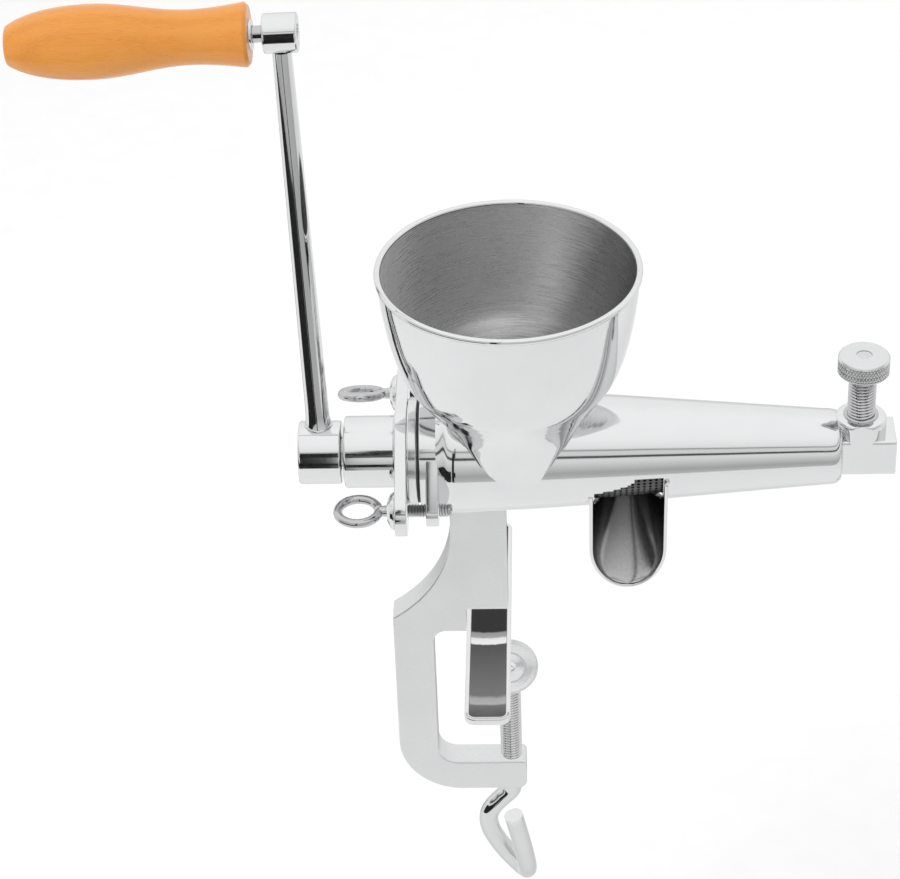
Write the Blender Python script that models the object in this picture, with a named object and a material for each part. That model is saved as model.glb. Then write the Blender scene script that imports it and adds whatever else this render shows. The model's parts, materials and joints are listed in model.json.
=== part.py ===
"""Hand-cranked auger juicer with a table clamp, modelled as separate, named pieces.

The origin is the middle of the clamp's upper jaw, on the face that rests on the table top.
+Z is up, +X runs along the barrel towards its nose, and -Y is the side the spout opens to.
"""

import math

import bmesh
import bpy
from mathutils import Matrix, Vector
from mathutils.geometry import convex_hull_2d

MM = 0.001
GAP = 0.3                      # clearance left between neighbouring pieces, in millimetres
COARSE = 20                    # facets around a small round piece
FINE = 40                      # facets around a large round piece

# Everything below is in millimetres. X is measured from the hopper's axis and Z from the
# barrel's axis; BARREL_AT carries both to the jaw's origin.
BARREL_AT = (12.0, 0.0, 94.0)

# Barrel and nose
BARREL_WALL = 2.0
BARREL_OUTLINE = ((-31.5, 23.2), (-29.0, 25.2), (-25.5, 26.5), (11.0, 25.2), (46.5, 23.0),
                  (136.0, 16.0), (137.6, 15.2), (138.5, 13.4))
FLANGE_REAR, FLANGE_FRONT = -38.9, -31.2
FLANGE_R, LUG_REAR, LUG_R = 23.6, -36.2, 6.7
BORE_R = 21.0
BORE_CONE_START = -20.0        # the bore runs straight up to here, then narrows with the barrel
BARREL_TIP = 136.0             # inner face of the barrel's closed end
BOLT_REACH = 30.0              # from the barrel's axis to each eyebolt
BOLT_ANGLE = math.radians(21.4)  # the upper eyebolt is behind, this far above level
NOSE_START, NOSE_END = 135.0, 162.0
NOSE_HALF_DEPTH = 9.8
NOSE_BOTTOM, NOSE_TOP = -8.4, 8.6
PULP_BORE_R = 5.6
PULP_SCREW_X = 147.2
PULP_BOSS_R, PULP_BOSS_TOP = 10.85, 16.5
PULP_STEM_R = 5.9
PULP_KNOB_R, PULP_KNOB_LOW, PULP_KNOB_TOP = 10.96, 37.6, 46.5

# Hopper
RIM_Z, RIM_R = 91.8, 55.2
BOWL_DEPTH, BOWL_FULL_DEPTH = 62.8, 66.3
HOPPER_WALL = 1.5
NECK_HALF_WIDTH, NECK_HALF_DEPTH, NECK_Z = 10.8, 26.4, -1.0
NECK_LEAN = 1.7                # the neck's foot sits this far towards the nose

# Juice spout
SPOUT_X, SPOUT_HALF_WIDTH, SPOUT_WALL = 49.0, 16.4, 1.3
SPOUT_TOP_Z, SPOUT_ARC_Z = -2.0, -42.0

# Rear bearing cover
COVER_REAR, COVER_FRONT = -49.3, -44.2
SLEEVE_REAR, SLEEVE_R = -71.3, 15.5
RING_FRONT, RING_R = -40.1, 22.9
SHAFT_R = 8.0

# Crank
HUB_REAR, HUB_FRONT, HUB_R = -90.8, -72.6, 13.6
CRANK_LENGTH = 188.5
CRANK_LEAN = math.radians(8.0)
CRANK_X, CRANK_TIP_X = -82.2, -88.8      # the crank bar's middle at the hub and at its tip
CRANK_ROOT_R, CRANK_R, CRANK_TIP_R = 5.1, 4.5, 3.9
SET_SCREW_X, SET_SCREW_R = -82.6, 3.0
HEAD_X, HEAD_HALF, HEAD_R = -89.0, 6.95, 8.1

# Handle, along its own axis from the middle of the crank's head
GRIP_OUTER, GRIP_INNER = -110.4, -12.4
GRIP_WAIST, GRIP_BELLY = -36.2, -76.0
FLARE_R, WAIST_R, BELLY_R = 13.1, 11.05, 15.1
GRIP_DROOP = math.radians(1.9)  # the handle is square to the crank, which leans outwards
GRIP_PIN_R = 3.4

# Clamp
JAW_Z = -94.0                  # the table top touches the jaw here
JAW_X, JAW_WIDTH, JAW_LENGTH, JAW_HEIGHT = -12.0, 19.6, 140.0, 10.0
FRAME_HALF_THICKNESS = 6.5
CLAMP_X = -3.6
CLAMP_SCREW_R = 4.9
ARM_TOP, ARM_BOTTOM, ARM_END = -171.0, -187.0, 3.3
BALL_Z, BALL_R = -121.5, 4.0
PAD_R, PAD_TILT = 13.1, math.radians(30.0)
HOOK_START, HOOK_R = -188.5, 4.4

# Eyebolts
BOLT_R, BOLT_END = 2.9, -25.2
EYE_X, EYE_RING_R, EYE_WIRE_R = -65.0, 8.6, 1.95
EYE_TILT = math.radians(-22.0)   # the upper eye has come to rest a little turned


# ---------------------------------------------------------------- scene and materials

def clear_scene():
    for obj in list(bpy.data.objects):
        bpy.data.objects.remove(obj, do_unlink=True)


def material(name, colour, roughness, metallic):
    made = bpy.data.materials.new(name)
    made.use_nodes = True
    shader = made.node_tree.nodes["Principled BSDF"]
    shader.inputs["Base Color"].default_value = (*colour, 1.0)
    shader.inputs["Roughness"].default_value = roughness
    shader.inputs["Metallic"].default_value = metallic
    return made


def steel(name, roughness=0.08):
    return material(name, (0.80, 0.80, 0.81), roughness, 1.0)


# ---------------------------------------------------------------- building blocks

def finish_mesh(name, mesh_source, made_of, parent=None, location=(0, 0, 0), rotation=(0, 0, 0),
                sharp=35.0):
    """Turns a bmesh in millimetres into a named object in metres, with outward faces."""
    bmesh.ops.recalc_face_normals(mesh_source, faces=mesh_source.faces)
    bmesh.ops.scale(mesh_source, vec=(MM, MM, MM), verts=mesh_source.verts)
    mesh = bpy.data.meshes.new(name)
    mesh_source.to_mesh(mesh)
    mesh_source.free()
    mesh.shade_smooth()
    mesh.set_sharp_from_angle(angle=math.radians(sharp))
    mesh.materials.append(made_of)
    obj = bpy.data.objects.new(name, mesh)
    bpy.context.scene.collection.objects.link(obj)
    obj.parent = parent
    obj.location = Vector(location) * MM
    obj.rotation_euler = rotation
    return obj


def empty(name, location, parent=None, rotation=(0, 0, 0)):
    obj = bpy.data.objects.new(name, None)
    bpy.context.scene.collection.objects.link(obj)
    obj.parent = parent
    obj.location = Vector(location) * MM
    obj.rotation_euler = rotation
    return obj


def arc(centre, radius, start, end, count):
    """Points on an arc, from the start angle to the end angle in degrees."""
    angles = [math.radians(start + (end - start) * i / count) for i in range(count + 1)]
    return [(centre[0] + radius * math.cos(a), centre[1] + radius * math.sin(a)) for a in angles]


def circle(centre, radius, count):
    return arc(centre, radius, 0, 360, count)[:-1]


def bezier(start, control, end, count):
    points = []
    for i in range(count + 1):
        t = i / count
        points.append(tuple((1 - t) ** 2 * a + 2 * t * (1 - t) * b + t * t * c
                            for a, b, c in zip(start, control, end)))
    return points


def bridge(mesh, first, second):
    """Joins two rings of vertices; a ring of one vertex is a point on the axis."""
    count = max(len(first), len(second))
    for i in range(count):
        j = (i + 1) % count
        corners = [first[i % len(first)], first[j % len(first)],
                   second[j % len(second)], second[i % len(second)]]
        mesh.faces.new(list(dict.fromkeys(corners)))


def loft(rings, closed=False, caps=False):
    """A skin over rings of points; closed joins the last ring to the first."""
    mesh = bmesh.new()
    made = [[mesh.verts.new(p) for p in ring] for ring in rings]
    pairs = list(zip(made, made[1:]))
    if closed:
        pairs.append((made[-1], made[0]))
    for first, second in pairs:
        bridge(mesh, first, second)
    if caps:
        mesh.faces.new(made[0])
        mesh.faces.new(made[-1])
    return mesh


def turned_rings(profile, steps):
    rings = []
    for radius, height in profile:
        if radius == 0:
            rings.append([(0, 0, height)])
            continue
        rings.append([(x, y, height) for x, y in circle((0, 0), radius, steps)])
    return rings


def turned(name, profile, made_of, steps=COARSE, hollow=False, **placing):
    """A turned piece about local Z, from (radius, height) pairs."""
    return finish_mesh(name, loft(turned_rings(profile, steps), closed=hollow), made_of, **placing)


ALONG_X = (0, math.pi / 2, 0)  # turns a piece's local +Z to +X


def tube(name, inner, outer, start, end, made_of, chamfer=0.0, **placing):
    """A plain turned tube with its outer edges broken by a chamfer."""
    profile = [(inner, start), (outer - chamfer, start), (outer, start + chamfer),
               (outer, end - chamfer), (outer - chamfer, end), (inner, end)]
    if chamfer == 0:
        profile = [(inner, start), (outer, start), (outer, end), (inner, end)]
    return turned(name, profile, made_of, hollow=True, **placing)


def plate(name, outline, low, high, made_of, across="Y", **placing):
    """An outline drawn in two axes and given a thickness along the third."""
    order = {"X": lambda p, d: (d, p[0], p[1]), "Y": lambda p, d: (p[0], d, p[1]),
             "Z": lambda p, d: (p[0], p[1], d)}[across]
    rings = [[order(p, low) for p in outline], [order(p, high) for p in outline]]
    return finish_mesh(name, loft(rings, caps=True), made_of, **placing)


def box_outline(x0, x1, y0, y1, radius=0.0, count=4):
    if radius == 0:
        return [(x0, y0), (x1, y0), (x1, y1), (x0, y1)]
    corners = ((x1 - radius, y1 - radius, 0), (x0 + radius, y1 - radius, 90),
               (x0 + radius, y0 + radius, 180), (x1 - radius, y0 + radius, 270))
    return [p for x, y, a in corners for p in arc((x, y), radius, a, a + 90, count)]


def hull(*point_sets):
    points = [Vector(p) for points in point_sets for p in points]
    return [tuple(points[i]) for i in convex_hull_2d(points)]


def rod(name, path, radii, made_of, steps=COARSE, **placing):
    """A round bar along a path of points, with a radius at each point."""
    points = [Vector(p) for p in path]
    rings = []
    side = Vector((1, 0, 0)) if abs((points[1] - points[0]).normalized().x) < 0.9 else Vector((0, 1, 0))
    for i, point in enumerate(points):
        ahead = points[min(i + 1, len(points) - 1)] - point
        behind = point - points[max(i - 1, 0)]
        along = (ahead.normalized() + behind.normalized()).normalized()
        side = (side - along * side.dot(along)).normalized()
        up = along.cross(side)
        rings.append([point + radii[i] * (side * c + up * s) for c, s in circle((0, 0), 1, steps)])
    return finish_mesh(name, loft(rings, caps=True), made_of, **placing)


def combine(obj, other, operation):
    """Cuts with or joins another object, which is then only a guide."""
    change = obj.modifiers.new(operation.title() + " " + other.name, "BOOLEAN")
    change.operation = operation
    change.solver = "EXACT"
    change.object = other
    other.hide_render = True
    other.display_type = "WIRE"


def cut(obj, *others):
    for other in others:
        combine(obj, other, "DIFFERENCE")


def join(obj, *others):
    for other in others:
        combine(obj, other, "UNION")


def soften(obj, width, segments=2):
    edge = obj.modifiers.new("Rounded edges", "BEVEL")
    edge.width = width * MM
    edge.segments = segments
    edge.limit_method = "ANGLE"
    edge.angle_limit = math.radians(50)


# ---------------------------------------------------------------- barrel

def bolt_place(side):
    """Where an eyebolt crosses the cover: side is +1 for the upper one, -1 for the lower."""
    return (side * BOLT_REACH * math.cos(BOLT_ANGLE), side * BOLT_REACH * math.sin(BOLT_ANGLE))


def barrel_envelope(name, grow, made_of, parent):
    """The barrel's outside as a solid, grown all round: its neighbours are cut to it."""
    rear = BARREL_OUTLINE[0][0] - 12
    widest = BARREL_OUTLINE[2][1]
    profile = [(0, rear), (widest + grow, rear)]
    profile += [(r + grow, x) for x, r in BARREL_OUTLINE[2:6]]
    profile.append((0, BARREL_OUTLINE[5][0]))
    guide = turned(name, profile, made_of, steps=FINE, parent=parent, rotation=ALONG_X)
    guide.hide_render = True
    guide.display_type = "WIRE"
    return guide


def barrel_radius(x):
    stations = BARREL_OUTLINE
    for (x0, r0), (x1, r1) in zip(stations, stations[1:]):
        if x0 <= x <= x1:
            return r0 + (r1 - r0) * (x - x0) / (x1 - x0)
    return stations[0][1]


def barrel(made_of, parent):
    """The turned body, joined to its flange and nose and then opened."""
    outside = [(BORE_R, FLANGE_REAR), (FLANGE_R, FLANGE_REAR), (FLANGE_R, FLANGE_FRONT - 0.5)]
    outside += [(r, x) for x, r in BARREL_OUTLINE]
    inside = [(PULP_BORE_R, 138.5), (PULP_BORE_R, BARREL_TIP),
              (barrel_radius(BARREL_TIP) - BARREL_WALL, BARREL_TIP)]
    inside += [(barrel_radius(x) - BARREL_WALL, x) for x in (46.5, 11.0)]
    inside += [(BORE_R, BORE_CONE_START)]
    body = turned("barrel", outside + inside, made_of, steps=FINE, hollow=True,
                  parent=parent, rotation=ALONG_X)
    join(body, barrel_flange(made_of, parent), *nose(made_of, parent))
    cut(body, *barrel_openings(made_of, parent))


def peg(name, radius, low, high, made_of, **placing):
    """A plain round solid, for cutting a hole."""
    return turned(name, [(0, low), (radius, low), (radius, high), (0, high)], made_of, **placing)


def barrel_flange(made_of, parent):
    outline = hull(circle((0, 0), FLANGE_R - 0.6, FINE), circle(bolt_place(1), LUG_R, COARSE),
                   circle(bolt_place(-1), LUG_R, COARSE))
    flange = plate("barrel_flange_blank", outline, LUG_REAR, FLANGE_FRONT, made_of, across="X",
                   parent=parent)
    bore = peg("barrel_flange_bore", BORE_R + 0.6, FLANGE_REAR - 6, BORE_CONE_START, made_of,
               steps=FINE, parent=parent, rotation=ALONG_X)
    cut(flange, bore)
    return flange


def nose(made_of, parent):
    """The square block at the barrel's tip and the round boss for the pulp screw."""
    block = plate("nose_block_blank", box_outline(NOSE_START, NOSE_END, NOSE_BOTTOM, NOSE_TOP),
                  -NOSE_HALF_DEPTH, NOSE_HALF_DEPTH, made_of, parent=parent)
    soften(block, 0.6)
    boss = turned("nose_boss_blank",
                  [(0, 0), (PULP_BOSS_R, 0), (PULP_BOSS_R, PULP_BOSS_TOP - 1.8),
                   (PULP_BOSS_R - 0.5, PULP_BOSS_TOP - 0.7), (PULP_BOSS_R - 1.8, PULP_BOSS_TOP),
                   (0, PULP_BOSS_TOP)],
                  made_of, steps=32, parent=parent, location=(PULP_SCREW_X, 0, 0))
    front = -NOSE_HALF_DEPTH + 0.06
    trim = plate("nose_boss_trim", box_outline(NOSE_START, NOSE_END, front - 12, front), 0, 30,
                 made_of, across="Z", parent=parent)
    cut(boss, trim)
    return block, boss


def barrel_openings(made_of, parent):
    along = {"parent": parent, "rotation": ALONG_X}
    openings = [peg("pulp_bore", PULP_BORE_R, BARREL_TIP - 4, NOSE_END + 8, made_of, **along),
                peg("pulp_screw_bore", PULP_STEM_R + 0.4, -1, PULP_BOSS_TOP + 14, made_of,
                    parent=parent, location=(PULP_SCREW_X, 0, 0)),
                plate("hopper_port", box_outline(-9, 11, -17, 17, 5), 5, 40, made_of, across="Z",
                      parent=parent),
                plate("spout_port", box_outline(34.4, 63.6, -22.6, 8, 4), -40, 0, made_of,
                      across="Z", parent=parent)]
    for side in (-1, 1):
        openings.append(peg(f"flange_bolt_hole_{side:+d}", BOLT_R + GAP, FLANGE_REAR - 6,
                            BORE_CONE_START, made_of, location=(0, *bolt_place(side)), **along))
    return openings


# ---------------------------------------------------------------- hopper

def hopper_radius(z):
    """Outer radius of the bowl: nearly upright at the rim and drawn in lower down."""
    return (RIM_R - 1.0) * (1 - ((RIM_Z - z) / BOWL_FULL_DEPTH) ** 1.5) ** (1 / 5.5)


def hopper_ring(z, inset):
    """A section of the bowl or of the neck, which runs from round to a narrow rectangle."""
    bowl_z = RIM_Z - BOWL_DEPTH
    drop = max(0.0, (bowl_z - z) / (bowl_z - NECK_Z))
    radius = hopper_radius(max(z, bowl_z)) - inset
    points = []
    for u, v in circle((0, 0), 1, FINE):
        blend = drop ** (1.15 + 0.25 * u)
        square = max(abs(u), abs(v))
        corner_x = (NECK_HALF_WIDTH - inset) * u / square + NECK_LEAN
        corner_y = (NECK_HALF_DEPTH - inset) * v / square
        points.append((radius * u * (1 - blend) + corner_x * blend,
                       radius * v * (1 - blend) + corner_y * blend, z))
    return points


def hopper(made_of, parent, envelope):
    bowl_z = RIM_Z - BOWL_DEPTH
    bead = arc((RIM_R - 1.4, RIM_Z - 1.4), 1.4, -40, 180, 4)
    heights = [bowl_z + (RIM_Z - 3.0 - bowl_z) * (i / 7) ** 1.5 for i in range(8)]
    neck = [NECK_Z + (bowl_z - NECK_Z) * i / 3 for i in range(3)]
    outer = [hopper_ring(z, 0) for z in neck + heights]
    lip = [[(x, y, z) for x, y in circle((0, 0), r, FINE)] for r, z in bead]
    inner = [hopper_ring(z, HOPPER_WALL) for z in reversed(neck + heights)]
    body = finish_mesh("hopper", loft(outer + lip + inner, closed=True), made_of, parent=parent)
    cut(body, envelope)
    return body


# ---------------------------------------------------------------- juice spout

def spout_ring(step, count, inset, across):
    """One row of the scoop, from the barrel's underside to the rounded lip."""
    straight = 6
    if step <= straight:
        share = step / straight
        z = SPOUT_TOP_Z + (SPOUT_ARC_Z - SPOUT_TOP_Z) * share
        width = SPOUT_HALF_WIDTH - inset
    else:
        angle = math.pi / 2 * (step - straight) / (count - straight)
        z = SPOUT_ARC_Z - (1.45 * SPOUT_HALF_WIDTH - inset) * math.sin(angle)
        width = (SPOUT_HALF_WIDTH - inset) * math.cos(angle)
    depth_share = (z - SPOUT_TOP_Z) / (-1.45 * SPOUT_HALF_WIDTH + SPOUT_ARC_Z - SPOUT_TOP_Z)
    rim_y = -23.0 + 12.0 * depth_share
    depth = (32.0 - inset) * (1 - depth_share ** 1.25)
    points = []
    for i in range(across + 1):
        a = math.pi * i / across
        points.append((SPOUT_X - width * math.cos(a), rim_y + max(depth, 0.0) * math.sin(a), z))
    return points


def juice_spout(made_of, parent, envelope):
    count, across = 12, 12
    mesh = bmesh.new()
    sides = []
    for inset in (0.0, SPOUT_WALL):
        rows = [[mesh.verts.new(p) for p in spout_ring(s, count, inset, across)] for s in range(count)]
        sides.append(rows)
    outer, inner = sides
    for rows in sides:
        for upper, lower in zip(rows, rows[1:]):
            for i in range(across):
                mesh.faces.new((upper[i], upper[i + 1], lower[i + 1], lower[i]))
    for k in range(count - 1):
        mesh.faces.new((outer[k][0], outer[k + 1][0], inner[k + 1][0], inner[k][0]))
        mesh.faces.new((outer[k][-1], outer[k + 1][-1], inner[k + 1][-1], inner[k][-1]))
    for i in range(across):
        mesh.faces.new((outer[0][i], outer[0][i + 1], inner[0][i + 1], inner[0][i]))
    close_lip(mesh, outer[-1], inner[-1])
    body = finish_mesh("juice_spout", mesh, made_of, parent=parent)
    cut(body, envelope)
    return body


def close_lip(mesh, outer_row, inner_row):
    """Closes the lowest row, where the scoop's two sides have come together."""
    for i in range(len(outer_row) - 1):
        mesh.faces.new((outer_row[i], outer_row[i + 1], inner_row[i + 1], inner_row[i]))


# ---------------------------------------------------------------- clamp frame and jaw

def clamp_frame(made_of, parent, envelope):
    left, right = -27.6, -3.3
    spine_outer, spine_inner = -54.4, -36.9
    notch_left, notch_top = JAW_X - JAW_WIDTH / 2 - GAP, JAW_Z + 12.3
    sweep = 32.0
    outline = [(right, -18.0), (left, -18.0)]
    outline += bezier((left, -36.0), (left - 0.5, -68.0), (spine_outer, -86.0), 12)
    outline += arc((spine_outer + sweep, ARM_BOTTOM + sweep), sweep, 180, 270, 10)
    outline += arc((ARM_END - 4.0, ARM_BOTTOM + 4.0), 4.0, 270, 360, 3)
    outline += arc((ARM_END - 2.0, ARM_TOP - 2.0), 2.0, 0, 90, 2)
    outline += arc((spine_inner + 9.0, ARM_TOP + 9.0), 9.0, 270, 180, 5)
    outline += arc((spine_inner + 6.0, JAW_Z - 6.0), 6.0, 180, 90, 4)
    outline += [(notch_left, JAW_Z), (notch_left, notch_top), (right, notch_top)]
    body = plate("clamp_frame", outline, -FRAME_HALF_THICKNESS, FRAME_HALF_THICKNESS, made_of,
                 parent=parent)
    soften(body, 0.7)
    thread = turned("clamp_thread_hole",
                    [(0, ARM_BOTTOM - 2), (CLAMP_SCREW_R + GAP, ARM_BOTTOM - 2),
                     (CLAMP_SCREW_R + GAP, ARM_TOP - 0.8), (CLAMP_SCREW_R + GAP + 1.6, ARM_TOP + 0.8),
                     (0, ARM_TOP + 0.8)],
                    made_of, parent=parent, location=(CLAMP_X, 0, 0))
    cut(body, envelope, thread)
    return body


def jaw_bar(made_of, parent):
    x0, x1 = JAW_X - JAW_WIDTH / 2, JAW_X + JAW_WIDTH / 2
    half = JAW_LENGTH / 2
    body = plate("jaw_bar", box_outline(x0, x1, -half, half, 5.0), JAW_Z, JAW_Z + JAW_HEIGHT,
                 made_of, across="Z", parent=parent)
    dish = plate("jaw_dish", box_outline(x0 + 1.8, x1 - 1.8, 1.8 - half, half - 1.8, 3.2),
                 JAW_Z + 1.8, JAW_Z + 20, made_of, across="Z", parent=parent)
    cut(body, dish)
    middle, tip_height = 8.5, 3.3
    for side, name in ((-1, "front"), (1, "rear")):
        slope = bezier((side * middle, JAW_Z + JAW_HEIGHT), (side * 30, JAW_Z + 4.6),
                       (side * (half + 4), JAW_Z + tip_height), 8)
        top = [(side * (half + 4), JAW_Z + 20), (side * middle, JAW_Z + 20)]
        taper = plate(f"jaw_taper_{name}", slope + top, x0 - 2, x1 + 2, made_of, across="X",
                      parent=parent)
        cut(body, taper)
    return body


# ---------------------------------------------------------------- rear bearing stack

def bearing_cover(made_of, parent):
    bore = SHAFT_R + 2 * GAP + 1.6
    outside = [(bore, SLEEVE_REAR), (SLEEVE_R - 1.2, SLEEVE_REAR), (SLEEVE_R, SLEEVE_REAR + 1.2),
               (SLEEVE_R, COVER_REAR + 1), (20.4, COVER_REAR + 1), (20.4, -36.5), (bore, -36.5)]
    body = turned("bearing_cover", outside, made_of, steps=32, hollow=True, parent=parent,
                  rotation=ALONG_X)
    blank = plate("cover_plate_blank",
                  hull(circle((0, 0), 21.0, FINE), circle(bolt_place(1), 10.8, COARSE),
                       circle(bolt_place(-1), 10.8, COARSE)),
                  COVER_REAR, COVER_FRONT, made_of, across="X", parent=parent)
    soften(blank, 0.5, 1)
    centre = turned("cover_plate_bore", [(0, -60), (14, -60), (14, -40), (0, -40)], made_of,
                    steps=32, parent=parent, rotation=ALONG_X)
    cut(blank, centre)
    join(body, blank)
    for side in (-1, 1):
        hole = turned(f"cover_bolt_hole_{side:+d}",
                      [(0, -60), (BOLT_R + 0.6, -60), (BOLT_R + 0.6, -40), (0, -40)],
                      made_of, parent=parent, rotation=ALONG_X,
                      location=(0, *bolt_place(side)))
        cut(body, hole)
    return body


def rear_stack(steel_mat, rubber, bronze, nylon, parent):
    placing = {"parent": parent, "rotation": ALONG_X}
    bearing_cover(steel_mat, parent)
    tube("cover_ring", BORE_R, RING_R, COVER_FRONT + GAP, RING_FRONT, steel_mat,
         steps=32, **placing)
    tube("cover_gasket", BORE_R, 21.9, RING_FRONT + 0.15, FLANGE_REAR - 0.15, rubber,
         steps=32, **placing)
    bush_r = SHAFT_R + GAP + 1.6
    turned("bearing_bush",
           [(SHAFT_R + GAP, SLEEVE_REAR + 0.4), (bush_r, SLEEVE_REAR + 0.4), (bush_r, -36.2),
            (14.0, -36.2), (14.0, -34.4), (SHAFT_R + GAP, -34.4)],
           bronze, steps=24, hollow=True, **placing)
    tube("thrust_washer", SHAFT_R + GAP, 13.6, -34.1, -32.6, nylon, steps=24, **placing)


# ---------------------------------------------------------------- auger and strainer

def auger(made_of, parent):
    """Shaft, core and one helical flight in a single skin that turns with the helix."""
    flight_start, flight_end, pitch, rings_per_turn = -32.0, 128.0, 23.0, 9
    around = 12
    rings = []
    shaft = [(6.0, -89.5), (6.0, HUB_FRONT + 0.3), (SHAFT_R, HUB_FRONT + 0.5), (SHAFT_R, flight_start)]
    for radius, x in shaft:
        rings.append([(x, radius * c, radius * s) for c, s in circle((0, 0), 1, around)])
    count = int((flight_end - flight_start) / pitch * rings_per_turn)
    for k in range(count + 1):
        x = flight_start + (flight_end - flight_start) * k / count
        share = k / count
        core = 11.0 - 4.0 * share
        reach = barrel_radius(max(x, 11.0)) - BARREL_WALL - 3.0
        reach = min(reach, BORE_R - 1.2)
        ring = []
        for i in range(around):
            angle = 2 * math.pi * (i / around + (x - flight_start) / pitch)
            radius = reach if i in (0, 1) and 0 < k < count else core
            ring.append((x + 0.3, radius * math.cos(angle), radius * math.sin(angle)))
        rings.append(ring)
    rings.append([(flight_end + 5, 4.6 * c, 4.6 * s) for c, s in circle((0, 0), 1, around)])
    return finish_mesh("auger", loft(rings, caps=True), made_of, parent=parent)


def strainer(made_of, parent):
    start, end = 22.0, 132.0
    gap, wall = 0.8, 1.0
    radii = [(barrel_radius(x) - BARREL_WALL - gap, x) for x in (start, 46.5, end)]
    inside = [(r - wall, x) for r, x in reversed(radii)]
    return turned("strainer", radii + inside, made_of, steps=FINE, hollow=True, parent=parent,
                  rotation=ALONG_X)


# ---------------------------------------------------------------- crank and grip

def crank_hub(steel_mat, dark_steel, parent):
    """The hub and the set screw that holds it on the auger's shaft."""
    hub = turned("crank_hub",
                 [(6.3, HUB_REAR), (HUB_R - 1.0, HUB_REAR), (HUB_R, HUB_REAR + 1.0),
                  (HUB_R, HUB_FRONT - 1.0), (HUB_R - 1.0, HUB_FRONT), (6.3, HUB_FRONT)],
                 steel_mat, steps=32, hollow=True, parent=parent, rotation=ALONG_X)
    radial = {"parent": parent, "location": (SET_SCREW_X, 0, 0), "rotation": (-math.pi / 2, 0, 0)}
    cut(hub, peg("hub_screw_hole", SET_SCREW_R + GAP, 5.0, 18.0, dark_steel, **radial))
    low, high, socket_r, socket_low = 6.6, 13.0, 1.5, 10.0
    turned("hub_set_screw",
           [(0, low), (SET_SCREW_R - 0.4, low), (SET_SCREW_R, low + 0.4), (SET_SCREW_R, high - 0.4),
            (SET_SCREW_R - 0.4, high), (socket_r, high), (socket_r, socket_low), (0, socket_low)],
           dark_steel, **radial)


def crank_arm(steel_mat, parent):
    low, high = HUB_R + GAP, CRANK_LENGTH - HEAD_R - GAP
    path = [(CRANK_X + (CRANK_TIP_X - CRANK_X) * t, 0, low + (high - low) * t)
            for t in (0.0, 0.02, 0.5, 1.0)]
    radii = [CRANK_ROOT_R + 0.9, CRANK_ROOT_R, CRANK_R, CRANK_TIP_R]
    rod("crank_arm", path, radii, steel_mat, parent=parent, rotation=(-CRANK_LEAN, 0, 0))


def grip_profile():
    """Half outline of the handle, from its inner end to its rounded outer end."""
    flare = GRIP_INNER - 0.9
    points = [(FLARE_R - 0.5, GRIP_INNER), (FLARE_R, flare)]
    for i in range(1, 5):
        t = i / 4
        ease = math.sin(t * math.pi / 2)
        points.append((FLARE_R + (WAIST_R - FLARE_R) * ease, flare + (GRIP_WAIST - flare) * t))
    for i in range(1, 6):
        t = i / 5
        ease = (1 - math.cos(t * math.pi)) / 2
        points.append((WAIST_R + (BELLY_R - WAIST_R) * ease,
                       GRIP_WAIST + (GRIP_BELLY - GRIP_WAIST) * t))
    for i in range(1, 9):
        drop = (GRIP_OUTER + 2.2 - GRIP_BELLY) * math.sin(math.pi / 2 * i / 8)
        points.append((BELLY_R * math.sqrt(1 - abs(drop / 39.4) ** 2.2), GRIP_BELLY + drop))
    edge = points[-1][0]
    points += [(edge - 0.6, GRIP_OUTER + 0.7), (edge - 1.9, GRIP_OUTER)]
    return points


def grip(wood, steel_mat, dark_steel, parent):
    """The crank's head, and the pin, ferrule and handle on its axis."""
    bore, counterbore = GRIP_PIN_R + GAP, 5.6
    placing = {"parent": parent, "rotation": ALONG_X}
    turned("crank_head",
           [(bore, -HEAD_HALF), (HEAD_R - 0.9, -HEAD_HALF), (HEAD_R, 0.9 - HEAD_HALF),
            (HEAD_R, HEAD_HALF - 0.9), (HEAD_R - 0.9, HEAD_HALF), (bore, HEAD_HALF)],
           steel_mat, steps=24, hollow=True, **placing)
    inside = [(counterbore, GRIP_OUTER), (counterbore, GRIP_OUTER + 6.0),
              (bore, GRIP_OUTER + 6.0), (bore, GRIP_INNER)]
    turned("wooden_grip", grip_profile() + inside, wood, steps=24, hollow=True, **placing)
    tube("grip_ferrule", bore, 6.2, GRIP_INNER + 0.2, -HEAD_HALF - 4.2, steel_mat, 0.4, **placing)
    turned("grip_pin",
           [(0, GRIP_OUTER + 2.2), (4.4, GRIP_OUTER + 2.2), (5.1, GRIP_OUTER + 3.0),
            (5.1, GRIP_OUTER + 5.6), (GRIP_PIN_R, GRIP_OUTER + 5.6), (GRIP_PIN_R, HEAD_HALF - 1.2),
            (0, HEAD_HALF - 1.2)],
           dark_steel, **placing)


# ---------------------------------------------------------------- fasteners

def eyebolt(name, side, made_of, parent):
    """A bent-wire eye and its threaded shank, joined into one piece."""
    rings = []
    for k in range(20):
        a = 2 * math.pi * k / 20
        out = Vector((math.cos(a), math.sin(a), 0))
        centre = Vector((EYE_X, 0, 0)) + out * EYE_RING_R
        rings.append([centre + EYE_WIRE_R * (out * c + Vector((0, 0, s)))
                      for c, s in circle((0, 0), 1, 8)])
    place = (0, *bolt_place(side))
    tilt = (EYE_TILT if side > 0 else 0, 0, 0)
    body = finish_mesh(name, loft(rings, closed=True), made_of, parent=parent, location=place,
                       rotation=tilt)
    shank = turned(name + "_shank",
                   [(0, EYE_X + EYE_RING_R), (BOLT_R - 0.6, EYE_X + EYE_RING_R),
                    (BOLT_R, COVER_REAR - 4.3), (BOLT_R, BOLT_END - 0.7), (BOLT_R - 0.7, BOLT_END),
                    (0, BOLT_END)],
                   made_of, steps=12, parent=parent, location=place, rotation=ALONG_X)
    join(body, shank)
    return body


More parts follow.
